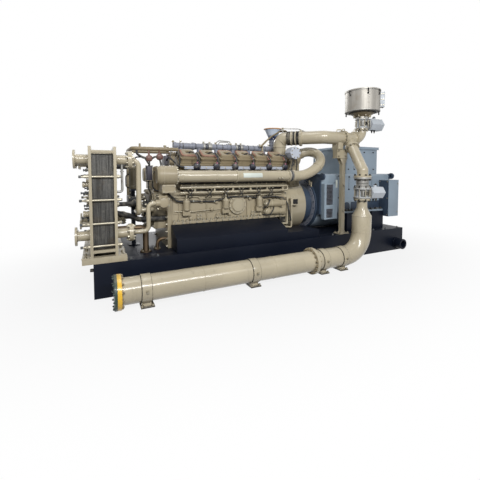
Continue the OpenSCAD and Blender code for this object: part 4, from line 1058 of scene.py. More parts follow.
twins("vent_pipe", vent, STAINLESS, 0)
base_trim = [block((-2190, -795, 390), (-2176, -690, 448)),
             block((-2190, -420, 390), (-2176, -300, 448)),
             block((-2250, -797, 458), (-2180, -770, 470)),
             block((-2640, -797, 452), (-2560, -776, 466))]
twins("exchanger_base_angles", base_trim, CREAM, 2)
bolts("exchanger_base_bolts", both(grid((-2600, -2222), (-760, -640, -400, -280), 460, UP)), 24)
print("heat exchangers done")

# %% [markdown]
# The exhaust runs along the top between the banks. Steel bellows sit between its lengths, each
# held by two bright clamps. Where the hot gas leaves, the sheet metal cone is blue-grey and its
# rim has gone rusty orange; one material does both, because it reads the height of the point.

# %% Exhaust manifold and outlet
EX, EX_R, STACK_X = 1786, 46, 235


def bellows(point, axis, low, high, pitch, count):
    """A pleated tube: count folds between two radii."""
    profile = [(low * 0.96, 0)]
    for i in range(count):
        profile += [(r, pitch * (i + share)) for r, share in
                    ((low, 0.15), (high, 0.38), (high, 0.62), (low, 0.85))]
    return lathe(profile + [(low * 0.96, pitch * count)], point, axis, 40)


def pipe_rings(places, out):
    """Rings on the exhaust: where each starts and how wide it is."""
    return [ring((x, 0, EX), ALONG, EX_R - 1, EX_R + out, width) for x, width in places]


def outlet_finish():
    material, tree, shader, place = new_material("hot blue-grey sheet with a rusty rim")
    height = add(tree, "ShaderNodeSeparateXYZ", [place], output=2)
    stain = noise(tree, place, 16, 4, 0.6)
    cone = blend_colours(tree, stain.between(0.3, 0.8), rgb(176, 192, 212), rgb(204, 212, 224))
    neck = blend_colours(tree, height.between(1.985, 2.03), rgb(44, 56, 92), cone)
    rust = blend_colours(tree, stain, rgb(176, 126, 78), rgb(202, 158, 112))
    rim = (height + stain * 0.012).between(2.112, 2.124)
    surface(tree, shader, (0.2, 0.001, stain), Base_Color=blend_colours(tree, rim, neck, rust),
            Metallic=0.05, Roughness=0.42 + stain * 0.2)
    return material


OUTLET = outlet_finish()
SLOT_OF[OUTLET] = "manifold_grey"
dress("exhaust_outlet", OUTLET, 2)
piece("manifold_bellows",
      [bellows((x, 0, EX), ALONG, EX_R - 3, EX_R + 6, 11, 4) for x in (-976, -434)], DAMPER, 0)
piece("manifold_bright_clamps", pipe_rings(((-1012, 34), (-932, 60), (-468, 32), (-390, 44)), 11),
      STAINLESS, 1)
seams = [(x, 9) for x in (-1375, -1324, -1134, -800, -700, -560, -250, -150, 60, 190)]
piece("manifold_seams", pipe_rings(seams, 4), DARK, 1)
piece("clamp_lugs",
      [knob([(9, 0), (9, 8), (15, 10), (15, 24), (6, 26)], (x, 0, EX + EX_R + 6), UP, 12)
       for x in (-1350, -997, -900, -452, -370, -20, 150)], STEEL, 1)
piece("stack_rings", [ring((STACK_X, 0, z), UP, 58, 68, 12) for z in (1850, 1900)], MANIFOLD, 1)
bolts("outlet_bolts", circle((STACK_X, 0, 1956), UP, 138, 8)
      + circle((-1445, 0, EX), BACK, 70, 6), 15)
print("exhaust dressed")

# %% [markdown]
# Thin lines cross the valley between the banks: two dark vent lines, bright sensor lines and the
# cables of the throttle. A free curve would bulge between its points, so each line is a route
# through a few corners with one bend radius, as a pipe bender would be told to make it.

# %% Thin pipes over the top
over = [pipe([(-60, y, 1812), (40, y, 1905), (123, y - 4, 1971 + up), (300, y - 14, 2072 + up),
              (400, y - 34, 2080 + up), (420, y - 34, 2040)], 11, 60, 10)
        for y, up in ((-96, 0), (-130, 12))]
piece("vent_line", over, DARK_CAST, 0)
thin = [pipe([(280, -240, 2040), (280, -240, 2110), (530, -330, 2106), (590, -440, 2050)],
             8, 30, 10),
        pipe([(-801, 0, 1830), (-801, 0, 1850), (-745, 0, 1888), (-560, 0, 1880), (-547, 0, 1828)],
             8, 22, 10),
        pipe([(-770, -30, 1830), (-740, -34, 1862), (-610, -34, 1864), (-585, -30, 1822)],
             6, 16, 8)]
piece("overhead_pipes", thin, STAINLESS, 0)
piece("pipe_knobs",
      [knob([(13, 0), (13, 10), (20, 14), (20, 26), (10, 32)], point, UP, 16)
       for point in ((280, -240, 2092), (-801, 0, 1828), (-547, 0, 1822), (-60, -96, 1806),
                     (-1640, -300, 1728), (-1461, 0, 1828))], CREAM, 1)
piece("cream_riser", [pipe([(0, -60, 1560), (0, -60, 1822), (-58, -94, 1824)], 15, 24, 12),
                      ring((0, -60, 1740), UP, 14, 24, 12)], CREAM, 0)
loom = [pipe(points, radius, 50, 8) for radius, points in (
    (9, [(282, -520, 1620), (262, -560, 1560), (236, -560, 1470), (218, -600, 1425)]),
    (7, [(320, -500, 1610), (300, -540, 1540), (250, -556, 1480), (196, -590, 1424)]),
    (8, [(380, -440, 1700), (400, -470, 1560), (392, -470, 1440), (330, -540, 1405)]),
    (10, [(196, -480, 1650), (120, -470, 1660), (60, -440, 1640), (20, -420, 1600)]))]
piece("throttle_cables", loom, RUBBER, 0)
print("thin pipes done")

# %% [markdown]
# Gas and air meet in the big pipe on the right. It comes from the tee, swings in over the engine
# and drops into the charger. A flange with a bolt circle and a dark bellows let it move, so the
# sweep of the pipe is cut there, and the pleats are turned on the diagonal's own axis.

# %% Mixture pipe and its bellows
MIX_Y, MIX_Z, LEAN = -700, 1945, Vector((-1, 1, 0)).normalized()
corner_in, corner_out = Vector((745, MIX_Y, MIX_Z)), Vector((245, -200, MIX_Z))
first_leg = route([(1140, MIX_Y, MIX_Z), corner_in, corner_in + LEAN * 366], 103, 8)
second_leg = route([corner_out - LEAN * 236, corner_out, (245, -200, 1665), (354, -200, 1665)],
                   104, 8)
piece("mixture_pipe_sweep", [sweep(leg, 102, 40) for leg in (first_leg, second_leg)], CREAM, 1,
      stands_for=["mixture_pipe"])
flange_at, fold_at = corner_in + LEAN * 338, corner_in + LEAN * 372
tee_face = (1118, MIX_Y, MIX_Z)
piece("mixture_flange",
      [ring(flange_at, LEAN, 100, 128, 18), ring(flange_at + LEAN * 24, LEAN, 90, 128, 16),
       ring(tee_face, ALONG, 100, 126, 22)], CREAM, 2)
piece("mixture_bellows", [bellows(fold_at, LEAN, 92, 112, 14, 4),
                          bellows(fold_at + LEAN * 74, LEAN, 92, 112, 14, 3),
                          bellows(fold_at + LEAN * 148, LEAN, 100, 113, 13, 5)], RUBBER, 0)
piece("mixture_clamps",
      [ring(fold_at + LEAN * 56, LEAN, 90, 118, 18), ring(fold_at + LEAN * 122, LEAN, 90, 118, 22),
       ring((1096, MIX_Y, MIX_Z), ALONG, 101, 108, 14), ring((245, -200, 1800), UP, 101, 112, 16),
       ring((274, -229, 1907), LEAN + Vector(DOWN), 101, 110, 12)], CREAM, 1)
bolts("mixture_bolts", circle(flange_at + LEAN * 18, LEAN, 234, 14)
      + circle(tee_face, BACK, 232, 14)
      + circle((1385, MIX_Y, MIX_Z), ALONG, 232, 14, offset=0.3), 20)
hoop = pipe([(x, MIX_Y, z) for x, z in
             ((1000, 2046), (1006, 2076), (1090, 2082), (1130, 2070), (1140, 2046))], 9, 30, 10)
eyes = [pipe([(x + dx, MIX_Y, 2068 + dz) for dx, dz in ((-26, 0), (-22, 30), (22, 30), (26, 0))],
             7, 18, 8) for x in (1151, 1396)]
piece("lifting_hoops", [hoop] + eyes, CREAM, 0)
print("mixture pipe done")

# %% [markdown]
# A butterfly valve is clamped between two flanges by long studs, and a yoke with four posts holds
# the motor away from the hot pipe. The same function dresses the gas valve and the air valve. The
# motors are six-sided castings with a lid, screws round its edge and two black cable glands.

# %% Valves, yokes and motors
RISER_X, RISER_Y = 1072, -1180
DRUM_X, DRUM_Y = 1560, -700


def valve_dress(x, y, z0, height, flange, reach):
    """The body, the dark parts and the studs of a valve that starts at height z0."""
    middle = z0 + height / 2
    body = [block((x - 74, y - 88, middle - 44), (x + 74, y + 88, middle + 44), 10)]
    body += [ring((x, y, z), UP, 84, flange + 8, 16) for z in (z0 + 4, z0 + height - 20)]
    for dy in (-46, 40):
        body += [block((x + 70, y + dy, middle + dz), (x + reach, y + dy + 8, middle + dz + 14), 2)
                 for dz in (-66, 52)]
    body += [block((x + reach - 10, y - 58, middle - 70), (x + reach + 4, y + 58, middle + 70), 6),
             block((x + 74, y - 40, middle - 20), (x + 104, y + 40, middle + 20), 6)]
    dark = [block((x - 50, y - 91, middle - 26), (x + 50, y - 86, middle + 26), 6)]
    dark += [knob([(17, 0), (17, 8), (10, 12)], (x + 52, y - 90, middle + dz), OUT, 16)
             for dz in (-30, 30)]
    studs = []
    for point, _ in circle((x, y, z0 - 20), UP, 2 * flange - 12, 8):
        studs.append(knob([(8, 0), (8, height + 40)], point, UP, 10))
        dark += [knob([(15, -14), (15, 2), (9, 4), (9, 16)], point + Vector((0, 0, dz)), way, 6)
                 for dz, way in ((0, DOWN), (height + 40, UP))]
    return body, dark, studs


def hexagon(y, z, radius):
    angles = [math.radians(60 * k) for k in range(6)]
    return [(y + radius * math.cos(a), z + radius * math.sin(a)) for a in angles]


def motor_dress(x, y, z, radius, length):
    """The lids and the dark parts of a motor that starts at x."""
    shell = [slab(hexagon(y, z, radius + 3), x + start, x + start + width)
             for start, width in ((length - 26, 22), (26, 14))]
    shell.append(knob([(radius * 0.55, 0), (radius * 0.55, 10), (radius * 0.4, 18)],
                      (x + length, y, z), ALONG, 24))
    dark = [knob([(20, -12), (20, 12), (15, 14), (15, 30), (9, 34), (9, 52)],
                 (x + dx, y - 20, z - radius * 0.84), DOWN, 16) for dx in (70, 130)]
    dark.append(knob([(24, -10), (24, 8), (18, 20)], (x + 140, y, z + radius + 12), UP))
    return shell, dark


gas_body, gas_dark, gas_studs = valve_dress(RISER_X, RISER_Y, 1010, 155, 118, 146)
air_body, air_dark, air_studs = valve_dress(DRUM_X, DRUM_Y, 2123, 168, 106, 142)
gas_shell, gas_black = motor_dress(1212, RISER_Y, 1087.5, 96, 250)
air_shell, air_black = motor_dress(1700, DRUM_Y, 2207, 108, 280)
piece("valve_bodies", gas_body + air_body, STAINLESS, 2)
piece("valve_hardware", gas_dark + air_dark + gas_black + air_black, DARK, 1)
piece("valve_studs", gas_studs + air_studs, STEEL, 0)
piece("motor_lids", gas_shell + air_shell, ACTUATOR, 2)
lid_screws = [((x, *corner), ALONG)
              for x, y, z, r in ((1462, RISER_Y, 1087.5, 96), (1980, DRUM_Y, 2207, 108))
              for corner in hexagon(y, z, r * 0.8)]
bolts("motor_lid_screws", lid_screws, 13)
pleats = [ring((RISER_X, RISER_Y, z), UP, 74, 92, 7) for z in range(1196, 1296, 14)]
piece("gas_bellows_pleats", pleats, STAINLESS, 1)
piece("gas_bellows_core", ring((RISER_X, RISER_Y, 1190), UP, 70, 84, 112), RUBBER, 1)
train = [((RISER_X, RISER_Y, 985), 206, DOWN), ((RISER_X, RISER_Y, 1347), 220, UP),
         ((RISER_X, RISER_Y, 1297), 220, DOWN)]
bolts("gas_train_bolts",
      [spot for at, across, way in train for spot in circle(at, UP, across, 8, way)],
      24, finish=DARK)
branch = Vector((190, 480, 520)).normalized()
collar_at = Vector((RISER_X, RISER_Y, 1425)) + branch * 500
bolts("branch_bolts", circle(collar_at, branch, 190, 10, -branch)
      + circle(collar_at + branch * 40, branch, 190, 10), 20)
print("valves done")

# %% [markdown]
# The throttle's motor has an eight-sided lid, so it is turned with only eight sides. The charger
# below it is a smooth casting, and what gives it scale is its joints: flanges with bolt circles,
# dark seams, and a short rubber sleeve with two clamps at the end of each intake tube.

# %% Throttle motor and charger
PORT_Z = 1635
throttle = [lathe([(96, 0), (100, 6), (100, 30), (94, 36), (60, 38), (0.5, 40)],
                  (295, -552, 1695), OUT, 8, 22.5),
            knob([(60, 0), (60, 30)], (295, -430, 1695), (0, 1, 0), 24)]
piece("throttle_lid", throttle, THROTTLE, 3)
bolts("throttle_screws", circle((295, -588, 1695), OUT, 150, 8), 14)
gate = [ring((400, y, PORT_Z), ALONG, 100, 118, 18) for y in (-185, 185)]
gate += [block((388, -306, 1400), (396, -296, 1560), 2),
         block((352, -322, 1640), (432, -306, 1720), 5)]
gate += [pair(block((470, -300, z), (560, -284, z + 14), 3)) for z in (1010, 1180, 1350, 1500)]
piece("charger_flanges", gate, CREAM, 3)
piece("charger_seams", [ring((362, y, PORT_Z), ALONG, 96, 110, 10) for y in (-185, 185)], DARK, 1)
bolts("charger_bolts", circle((400, -185, PORT_Z), BACK, 220, 12)
      + circle((400, 185, PORT_Z), BACK, 220, 12)
      + both(grid((484, 546), -285, (1040, 1120, 1230, 1310, 1420, 1530), OUT)), 20)
piece("charge_tube_hose", [ring((150, y, TUBE_Z), ALONG, 70, 83, 60) for y in (-600, 600)],
      RUBBER, 1)
piece("charge_tube_clamps",
      [ring((x, y, TUBE_Z), ALONG, 78, 87, 10) for x in (157, 190) for y in (-600, 600)],
      STAINLESS, 1)
bolts("charge_tube_bolts", both(circle((130, TUBE_Y, TUBE_Z), BACK, 158, 8)
                                + circle((230, TUBE_Y, TUBE_Z), ALONG, 158, 8)), 14)
print("charger done")

# %% [markdown]
# The air filter is a drum of thin rolled sheet: a seam runs down it, a rim closes it, and spring
# latches hold the lid. Its underside is dark rubber, and the cone below it has a ring of nuts.

# %% Air filter
def drum_ring(z, inner, outer, width, sides):
    return ring((DRUM_X, DRUM_Y, z), UP, inner, outer, width, sides)


def round_drum(angle):
    """A matrix that turns a drawing round the drum's axis."""
    return Matrix.Translation((DRUM_X, DRUM_Y, 0)) @ Matrix.Rotation(math.radians(angle), 4, "Z")


latches, latch_bases = [], []
for angle in (-180, -120, -74, -20, 40, 100):
    out = Vector((math.cos(math.radians(angle)), math.sin(math.radians(angle)), 0))
    base = Vector((DRUM_X, DRUM_Y, 2690)) + out * 276
    latches.append(pipe([base + Vector((0, 0, 34)) + out * 10, base + out * 16,
                         base + Vector((0, 0, -44)) + out * 2], 7, 16, 8))
    latch_bases += [knob([(15, 0), (15, 8), (10, 12)], base - out * 2 + Vector((0, 0, -38)),
                         out, 14),
                    lathe([(12, 0), (12, 8), (0.5, 10)], base + out * 4 + Vector((0, 0, 30)),
                          out, 14)]
piece("drum_latches", latches + latch_bases, DARK, 0)
seam = math.radians(-116)
piece("drum_seam", turned([(5, 2400), (5, 2722), (0.5, 2722)], 8)
      .moved(DRUM_X + 275 * math.cos(seam), DRUM_Y + 275 * math.sin(seam)), FILTER, 0)
piece("drum_rims", [drum_ring(2396, 270, 280, 12, 64), drum_ring(2712, 270, 280, 10, 64)],
      STAINLESS, 2)
piece("drum_gasket", drum_ring(2383, 120, 214, 13, 56), RUBBER, 2)
cone = turned([(94, 2318), (102, 2322), (190, 2372), (190, 2384), (180, 2384), (94, 2330)])
piece("drum_cone", cone.moved(DRUM_X, DRUM_Y), DARK_CAST, 1)
fin = slab([(-4, 2316), (4, 2316), (4, 2352), (-4, 2352)], 96, 150)
piece("cone_fins", [fin.put(round_drum(45 * k + 20)) for k in range(8)], CREAM, 2)
stud = turned([(10, 2340), (10, 2400), (16, 2400), (16, 2408), (0.5, 2408)], 12)
piece("drum_studs", [stud.moved(DRUM_X + 255 * math.cos(a), DRUM_Y + 255 * math.sin(a))
                     for a in (math.radians(-48), math.radians(132))], DARK, 1)
bolts("filter_flange_bolts", circle((DRUM_X, DRUM_Y, 2316), UP, 190, 8)
      + circle((DRUM_X, DRUM_Y, 2098), UP, 190, 8, DOWN), 18)
aside = round_drum(-35)
piece("filter_side_plates", [shape.put(aside) for shape in (
    block((328, -66, 2468), (335, 66, 2716), 2), block((268, -66, 2700), (335, 66, 2708), 2),
    block((268, -64, 2470), (330, -60, 2700), 1))], ACTUATOR, 2)
bolts("side_plate_bolts",
      [(aside @ Vector(point), aside.to_3x3() @ Vector(facing))
       for point, facing in grid((285, 315), -63, (2500, 2590, 2680), OUT)], 14)
print("filter done")

# %% [markdown]
# The gas main lies along the floor on saddles. Its open flange is painted yellow and closed with
# a green plate for transport. Dark rings that paint the shadow at the saddle bands' edges, weld
# seams and bolt circles break up the long tube.

# %% Gas main
GAS_Y, GAS_Z, SADDLES = -1180, 186, (-2035, -770, 310, 655)


def main_ring(x, inner, outer, width, sides=40):
    return ring((x, GAS_Y, GAS_Z), ALONG, inner, outer, width, sides)


def main_circle(x, count, facing):
    return circle((x, GAS_Y, GAS_Z), ALONG, 322, count, facing)


piece("cover_rim", [main_ring(-2341.5, 128, 136, 4, 64), main_ring(-2343, 1, 26, 4, 32)], GREEN, 1)
bolts("cover_bolts", main_circle(-2340, 12, BACK), 17, finish=GREEN)
bolts("gas_flange_bolts", main_circle(-2275, 12, ALONG) + main_circle(118, 16, BACK)
      + main_circle(162, 16, ALONG), 23, finish=DARK_CAST)
welds = [main_ring(x, 136, 141, 8) for x in (-2268, -1420, -500, 108, 170, 742)]
welds += [ring((RISER_X, RISER_Y, z), UP, r - 3, r + 3, 8) for z, r in
          ((512, 138), (748, 138), (868, 75), (958, 75))]
piece("weld_seams", welds, CREAM, 2)
# Dark rings at the edges of each saddle band paint the shadow in the gaps beside it.
shadow_rings, feet = [], []
for x in SADDLES:
    shadow_rings += [main_ring(x - 56, 138, 147, 6), main_ring(x + 46, 144, 148.5, 4)]
    feet += grid((x - 46, x + 62), (GAS_Y - 70, GAS_Y + 70), 14, UP)
piece("saddle_straps", shadow_rings, DARK, 1)
bolts("saddle_bolts", feet + grid(SADDLES, GAS_Y - 149, GAS_Z + 6, OUT), 24)
piece("flange_gaskets",
      [main_ring(136, 150, 179.5, 8), ring((RISER_X, RISER_Y, 1006), UP, 100, 119, 6)], GASKET, 1)
print("gas main done")

# %% [markdown]
# The stand for the tee is a square tube. Gussets carry its head, and two thin darker strips paint
# the shade of the groove where the tube was folded.

# %% Support post
def gusset(points, y):
    """A triangle of (x, z) points in 8 mm plate."""
    return loft([[Vector((x, side, z)) for x, z in points] for side in (y, y + 8)])


HEAD = [(1106, 1628), (1046, 1628), (1106, 1520)]
stays = [gusset(HEAD, -740), gusset([(1174, 1628), (1200, 1628), (1174, 1540)], -740),
         gusset(HEAD, -676), gusset([(1106, 404), (1060, 404), (1106, 500)], -704),
         gusset([(1174, 404), (1220, 404), (1174, 500)], -704),
         block((972, -756, 1620), (1198, -644, 1630), 2)]
piece("post_gussets", stays, CREAM, 2)
# Two thin darker strips paint the shade in the post's groove.
piece("post_groove", [block((x, -734.5, 420), (x + 4, -732, 1600)) for x in (1120, 1150)],
      DARK_CAST, 0)
bolts("post_bolts", grid((1060, 1220), (-755, -645), 404, UP)
      + grid((1004, 1160), -752, (1652, 1738), OUT) + grid(1140, -733, (760, 1180), OUT), 22)
print("post done")

# %% [markdown]
# The generator is a plain box, so its small things matter: slanted louvre slats grown as rows with
# near-black plates behind them as painted shade, four screws on the terminal box, the seam of a
# cover, a blank label, cable conduit, and dark panels below the box that paint the shade where the
# round stator shows.

# %% Generator fittings
def panel(x0, x1, z0, z1, y, depth, radius):
    """A flat plate with round corners on the near face of a box."""
    ring_at = rounded((x1 - x0) / 2, (z1 - z0) / 2, radius, steps=4)
    return loft([[Vector(((x0 + x1) / 2 + p.x, face, (z0 + z1) / 2 + p.y)) for p in ring_at]
                 for face in (y, y - depth)])


slats = [row("slats", count, (975, side * 592, z), (0, 0, 22), (138, 20, 3),
             MANIFOLD, (side * 38, 0, 0))
         for side in (-1, 1) for count, z in ((15, 872), (7, 654))]
rows("louvre_slats", slats, MANIFOLD)
# Near-black plates behind the slats paint the shade between them.
twins("louvre_backs",
      [block((905, -578, z0), (1045, -574, z1)) for z0, z1 in ((856, 1191), (641, 791))], DARK, 0)
twins("louvre_frames",
      [panel(892, 1058, 1198, 1212, -600, 4, 6), panel(892, 1058, 798, 806, -600, 4, 3),
       panel(870, 884, 640, 1200, -600, 3, 6)], BLUE, 1)
# Dark blue-grey panels below the box paint the shade where the round stator curves away.
twins("stator_recess",
      [panel(1304, 1500, 722, 872, -520, 1.5, 60), panel(1520, 2268, 722, 884, -520, 1.5, 40)],
      DEEP_BLUE, 0.5)
twins("recess_edge",
      [pipe([(1520, -524, 884), (2240, -524, 884), (2278, -524, 846), (2284, -524, 724)],
            7, 40, 10),
       pipe([(1310, -524, 726), (1322, -524, 850), (1400, -524, 880), (1512, -524, 884)],
            5, 50, 10)], BLUE, 0)
piece("blank_label", panel(1098, 1134, 1139, 1269, -600, 2.5, 8), LABEL, 0.8)
twins("cover_slots",
      [panel(1469, 1474, 1114, 1303, -520, 1.5, 2), panel(1646, 1650, 1448, 1510, -450, 1.5, 2),
       panel(1200, 1204, 900, 1330, -520, 1.2, 2), panel(2030, 2034, 900, 1330, -520, 1.2, 2)],
      DARK, 0)
screws = [((x, y, z), OUT)
          for y, places in ((-450, ((1898, 1754), (2128, 1758), (1662, 1448), (2138, 1448),
                                    (1520, 1754), (1520, 1448))),
                            (-520, ((1472, 1316), (1471, 1100), (2128, 1179), (1240, 1330),
                                    (1240, 960), (1700, 1330), (1990, 1330))))
          for x, z in places]
bolts("generator_screws", both(screws), 18, finish=DARK)
twins("terminal_lid_edges", [block((1450, -474, 1806), (2256, -466, 1812), 2),
                             block((1450, -474, 1846), (2256, -468, 1852), 2)], BLUE, 1)
bolts("generator_foot_bolts", both(grid((1330, 1410, 1470, 1930, 2050, 2180), -592, 730, UP)
                                   + grid((1500, 1620, 1760), -600, 700, DOWN)), 34, 24, DARK)
piece("generator_conduit",
      pipe([(1340, -560, 762), (1420, -572, 742), (1900, -576, 742), (2200, -572, 742),
            (2216, -560, 700), (2216, -540, 640)], 11, 40, 10), CAP, 0)
# Dark blue-grey plates over the side box's left face paint the shade of a face turned from the
# light.
piece("side_box_door", [block((2216.5, -728, 606), (2220, -524, 1250), 2),
                        block((2214, -690, 660), (2218, -562, 1196), 3)], DEEP_BLUE, 1)
piece("side_box_trim",
      [block((2214, -735, 600), (2230, -730, 1255), 2),
       block((2462, -736, 600), (2472, -731, 1255), 2),
       block((2216, -735, 1249), (2473, -524, 1258), 2)], BLUE, 2)
bolts("side_box_screws", grid(2214, (-706, -546), (630, 930, 1226), BACK)
      + grid(2452, -732, (680, 1190), OUT), 14)
# Pale grey rings on the dark disc paint the highlight along its edges.
arcs = [ring((799, 0, CRANK), ALONG, inner, inner + 8, 6, 72) for inner in (420, 352)]
piece("disc_edge_lines", arcs, MANIFOLD, 1)
bolts("disc_bolts", circle((804, 0, CRANK), BACK, 812, 24), 18, finish=DEEP_BLUE)
twins("disc_brackets",
      [block((778, -352, 1152), (804, -336, 1236), 4),
       block((778, -306, 1176), (804, -292, 1256), 4)], CREAM, 2)
piece("lifting_eye_rims",
      [ring((x, y, 1324), way, 21, 36, 6) for x, way in ((830, BACK), (2500, ALONG))
       for y in (-564, 564)], DEEP_BLUE, 2)
print("generator done")

# %% [markdown]
# The skid is a pair of welded girders. Holes, a lifting pocket and short weld beads keep it from
# looking like a bar of soap. The holes and the pocket are near-black panels that paint their shade.

# %% Skid fittings
STIFFENERS = (-2230, -1600, -1000, -330, 330, 1290, 1900, 2230)


def on_web(x0, x1, z0, z1, depth, radius):
    """A panel on the girder's web."""
    return panel(x0, x1, z0, z1, -720, depth, radius)


# Near-black panels on the web paint the shade inside the holes, the pocket and the notch.
holes = [on_web(x - 12, x + 12, z - 12, z + 12, 1.5, 11.9) for x, z in
         ((-2424, 288), (-2425, 244), (-2365, 257), (2424, 288), (2425, 244))]
holes += [on_web(-1925, -1739, 249, 320, 1.5, 12), on_web(831, 1122, 233, 332, 1.5, 12),
          on_web(1560, 1700, 249, 320, 1.5, 12)]
twins("girder_openings", holes, DARK, 0)
rims = [on_web(-1937, -1727, 243, 249, 10, 2), on_web(-1937, -1727, 320, 326, 10, 2),
        on_web(-1937, -1925, 243, 326, 10, 2), on_web(-1739, -1727, 243, 326, 10, 2),
        on_web(821, 1132, 226, 233, 12, 2), on_web(821, 1132, 332, 339, 12, 2)]
twins("girder_opening_rims", rims, NAVY, 1)
twins("girder_stiffeners", [block((x - 7, -796, 30), (x + 7, -720, 360), 3) for x in STIFFENERS],
      NAVY, 2)
rand = random.Random(5)
beads = []
for x in STIFFENERS:
    for edge in (x - 9, x + 9):
        path = route([(edge, -722, 40), (edge, -722, 350)])
        beads.append(sweep(path, [rand.uniform(3.2, 4.6) for _ in path], 6))
twins("weld_beads", beads, NAVY, 0)
bolts("deck_bolts",
      both(grid(range(-2440, 2450, 305), -746, 390, UP)
           + grid((-1560, -1180, -800, -420, -40, 330, 590), -660, 390, UP)), 24, finish=CAP)
piece("trunnion_collars",
      [ring((2360, side * 806, 128), (0, side, 0), 78, 102, 10) for side in (-1, 1)], NAVY, 2)
print("skid done")

# %% [markdown]
# Last come the engine's own odds and ends: cover bolts and ribs on the gear case, the pump's
# volute lines, the rim of the round door and a wiring loom that ties the whole side together.

# %% Gear case, pump and loom
PUMP_Y, PUMP_Z, COOLER_Z = -535, 1018, 1358
case_bolts = [((-1800, y, z), BACK)
              for y, z in ((-310, 680), (-310, 780), (-310, 900), (-310, 1020), (-200, 1110),
                           (-80, 1110), (60, 1110), (180, 1110), (310, 1020), (310, 900),
                           (310, 780), (310, 680), (-180, 660), (180, 660))]
bolts("gear_case_bolts", case_bolts + grid(-1645, (-425, 425), range(420, 1120, 96), BACK), 24)
case_ribs = [block((-1812, y - 8, 660), (-1798, y + 8, 1100), 4) for y in (-250, -120, 140, 260)]
case_ribs += [ring((-1806, -215, 760), ALONG, 40, 92, 12),
              ring((-1806, 190, 1010), ALONG, 30, 70, 12)]
piece("gear_case_ribs", case_ribs, CAST_CREAM, 4)
twins("pump_rings",
      [ring((-1786, PUMP_Y, PUMP_Z), ALONG, 60, 106, 10),
       ring((-1694, PUMP_Y, PUMP_Z), ALONG, 100, 120, 14),
       knob([(66, 0), (60, 20), (30, 26)], (-1730, -640, PUMP_Z), OUT, 28)], CAST_CREAM, 3)
bolts("pump_bolts", both(circle((-1785, PUMP_Y, PUMP_Z), ALONG, 190, 10, BACK)
                         + grid((-1676, -1656), -575, (974, 1056), OUT)), 20)
bolts("damper_bolts", circle((-1870, 0, CRANK), ALONG, 400, 16, BACK)
      + circle((-1896, 0, CRANK), ALONG, 110, 8, BACK), 26)
cooler = [ring((x, y, COOLER_Z), ALONG, 118, 126, 9) for x in (-1736, -1578) for y in (-600, 600)]
cooler += [pair(block((-1740, -676, z), (-1592, -668, z + 12), 3)) for z in (1146, 1224)]
piece("cooler_rings", cooler, CREAM, 2)
bolts("cooler_bolts", both(circle((-1568, TUBE_Y, COOLER_Z), ALONG, 206, 12)
                           + grid((-1734, -1600), -670, (1156, 1226), OUT)), 18)
twins("door_rim",
      [ring((DOOR_X, -444, DOOR_Z), OUT, 103, 134, 12),
       ring((DOOR_X, -464, DOOR_Z), OUT, 40, 92, 12)], CREAM, 2)
loom = [pipe([(-1640, -450, 1120), (-1520, -470, 1010), (-1300, -452, 1004), (-1000, -458, 990),
              (-760, -470, 1046), (-480, -466, 1040), (-300, -450, 1012), (-60, -470, 1030),
              (140, -480, 1000), (200, -520, 900), (260, -520, 640)], 12, 60, 10),
        pipe([(-1500, -440, 1186), (-1450, -470, 1150), (-900, -476, 1160), (-300, -470, 1152),
              (150, -476, 1160)], 9, 60, 8)]
twins("wiring_loom", loom, RUBBER, 0)
ties = [ring((x, side * y, z), ALONG, 10, 15, 8, 16)
        for x, y, z in ((-1300, 452, 1004), (-1000, 458, 990), (-480, 466, 1040))
        for side in (-1, 1)]
piece("loom_ties", ties, LABEL, 1)
print("engine fittings done")

# %% [markdown]
# The stage is a plain pale floor in a plain pale room. Seen directly, the room is white: a
# strength of 1 is exactly white. The floor is white for the camera too, except where the machine
# shades it. Most of what the camera sees of it is an even white glow, and the light that falls on
# it fades out a few metres away, by the point's distance from the middle. For light that bounces,
# both stay a mid grey, so that the undersides of the pipes keep their shade.

# %% Floor, world and lamps
def seen_rays(tree):
    """1 for camera, mirror and glass rays, 0 for light that bounces."""
    rays = tree.nodes.new("ShaderNodeLightPath")
    camera, glossy, glass = (Wire(tree, rays.outputs[label]) for label in
                             ("Is Camera Ray", "Is Glossy Ray", "Is Transmission Ray"))
    return camera.maths("MAXIMUM", glossy).maths("MAXIMUM", glass)


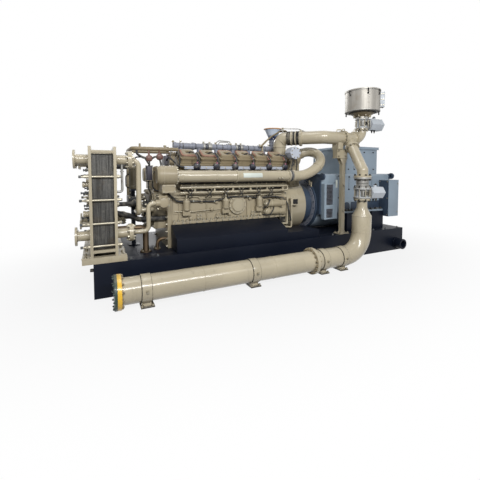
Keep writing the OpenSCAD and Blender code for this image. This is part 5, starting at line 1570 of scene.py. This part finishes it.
def stage():
    mesh = bpy.data.meshes.new("floor")
    size = 40.0
    corners = [(x * size, y * size, 0.0) for x, y in ((-1, -1), (1, -1), (1, 1), (-1, 1))]
    mesh.from_pydata(corners, [], [(0, 1, 2, 3)])
    floor = bpy.data.objects.new("floor", mesh)
    bpy.context.scene.collection.objects.link(floor)
    material, tree, shader, place = new_material("plain pale floor")
    plug(tree, shader.inputs["Base Color"], rgb(150, 150, 154))
    plug(tree, shader.inputs["Roughness"], noise(tree, place, 3, 4) * 0.1 + 0.85)
    plug(tree, shader.inputs["Specular IOR Level"], 0.1)
    squeezed = stretch(tree, place, (0.62, 1.0, 1.0))
    length = add(tree, "ShaderNodeVectorMath", {0: squeezed}, output=1, operation="LENGTH")
    white = add(tree, "ShaderNodeEmission", {"Color": (1, 1, 1, 1), "Strength": 1.0})
    share = (length.between(1.0, 3.4) * 0.16 + 0.84) * seen_rays(tree)
    mixed = add(tree, "ShaderNodeMixShader", [share, Wire(tree, shader.outputs[0]), white])
    plug(tree, tree.nodes["Material Output"].inputs["Surface"], mixed)
    mesh.materials.append(material)


def sky():
    world = bpy.data.worlds.new("plain pale room")
    bpy.context.scene.world = world
    world.use_nodes = True
    tree = world.node_tree
    back = tree.nodes["Background"]
    plug(tree, back.inputs["Color"], (1.0, 1.0, 1.0, 1.0))
    plug(tree, back.inputs["Strength"], seen_rays(tree) * 0.83 + 0.17)


def lamp(name, place, target, size, power):
    """A soft box: width and height in metres."""
    data = bpy.data.lights.new(name, "AREA")
    data.shape = "RECTANGLE"
    data.size, data.size_y = size
    data.energy = power
    thing = bpy.data.objects.new(name, data)
    thing.location = place
    aim = Vector(target) - Vector(place)
    thing.rotation_euler = aim.to_track_quat("-Z", "Y").to_euler()
    bpy.context.scene.collection.objects.link(thing)


stage()
sky()
lamp("long soft box in front", (-1.6, -6.8, 4.3), (-0.4, -0.5, 1.0), (6.5, 0.6), 560)
lamp("soft fill from above", (-1.5, -1.0, 6.8), (0, 0, 1.0), (2.4, 2.4), 80)
lamp("soft fill from behind", (1.0, 7.5, 4.4), (0, 0.3, 1.0), (4.0, 1.5), 320)
bpy.context.scene.view_settings.view_transform = "Standard"
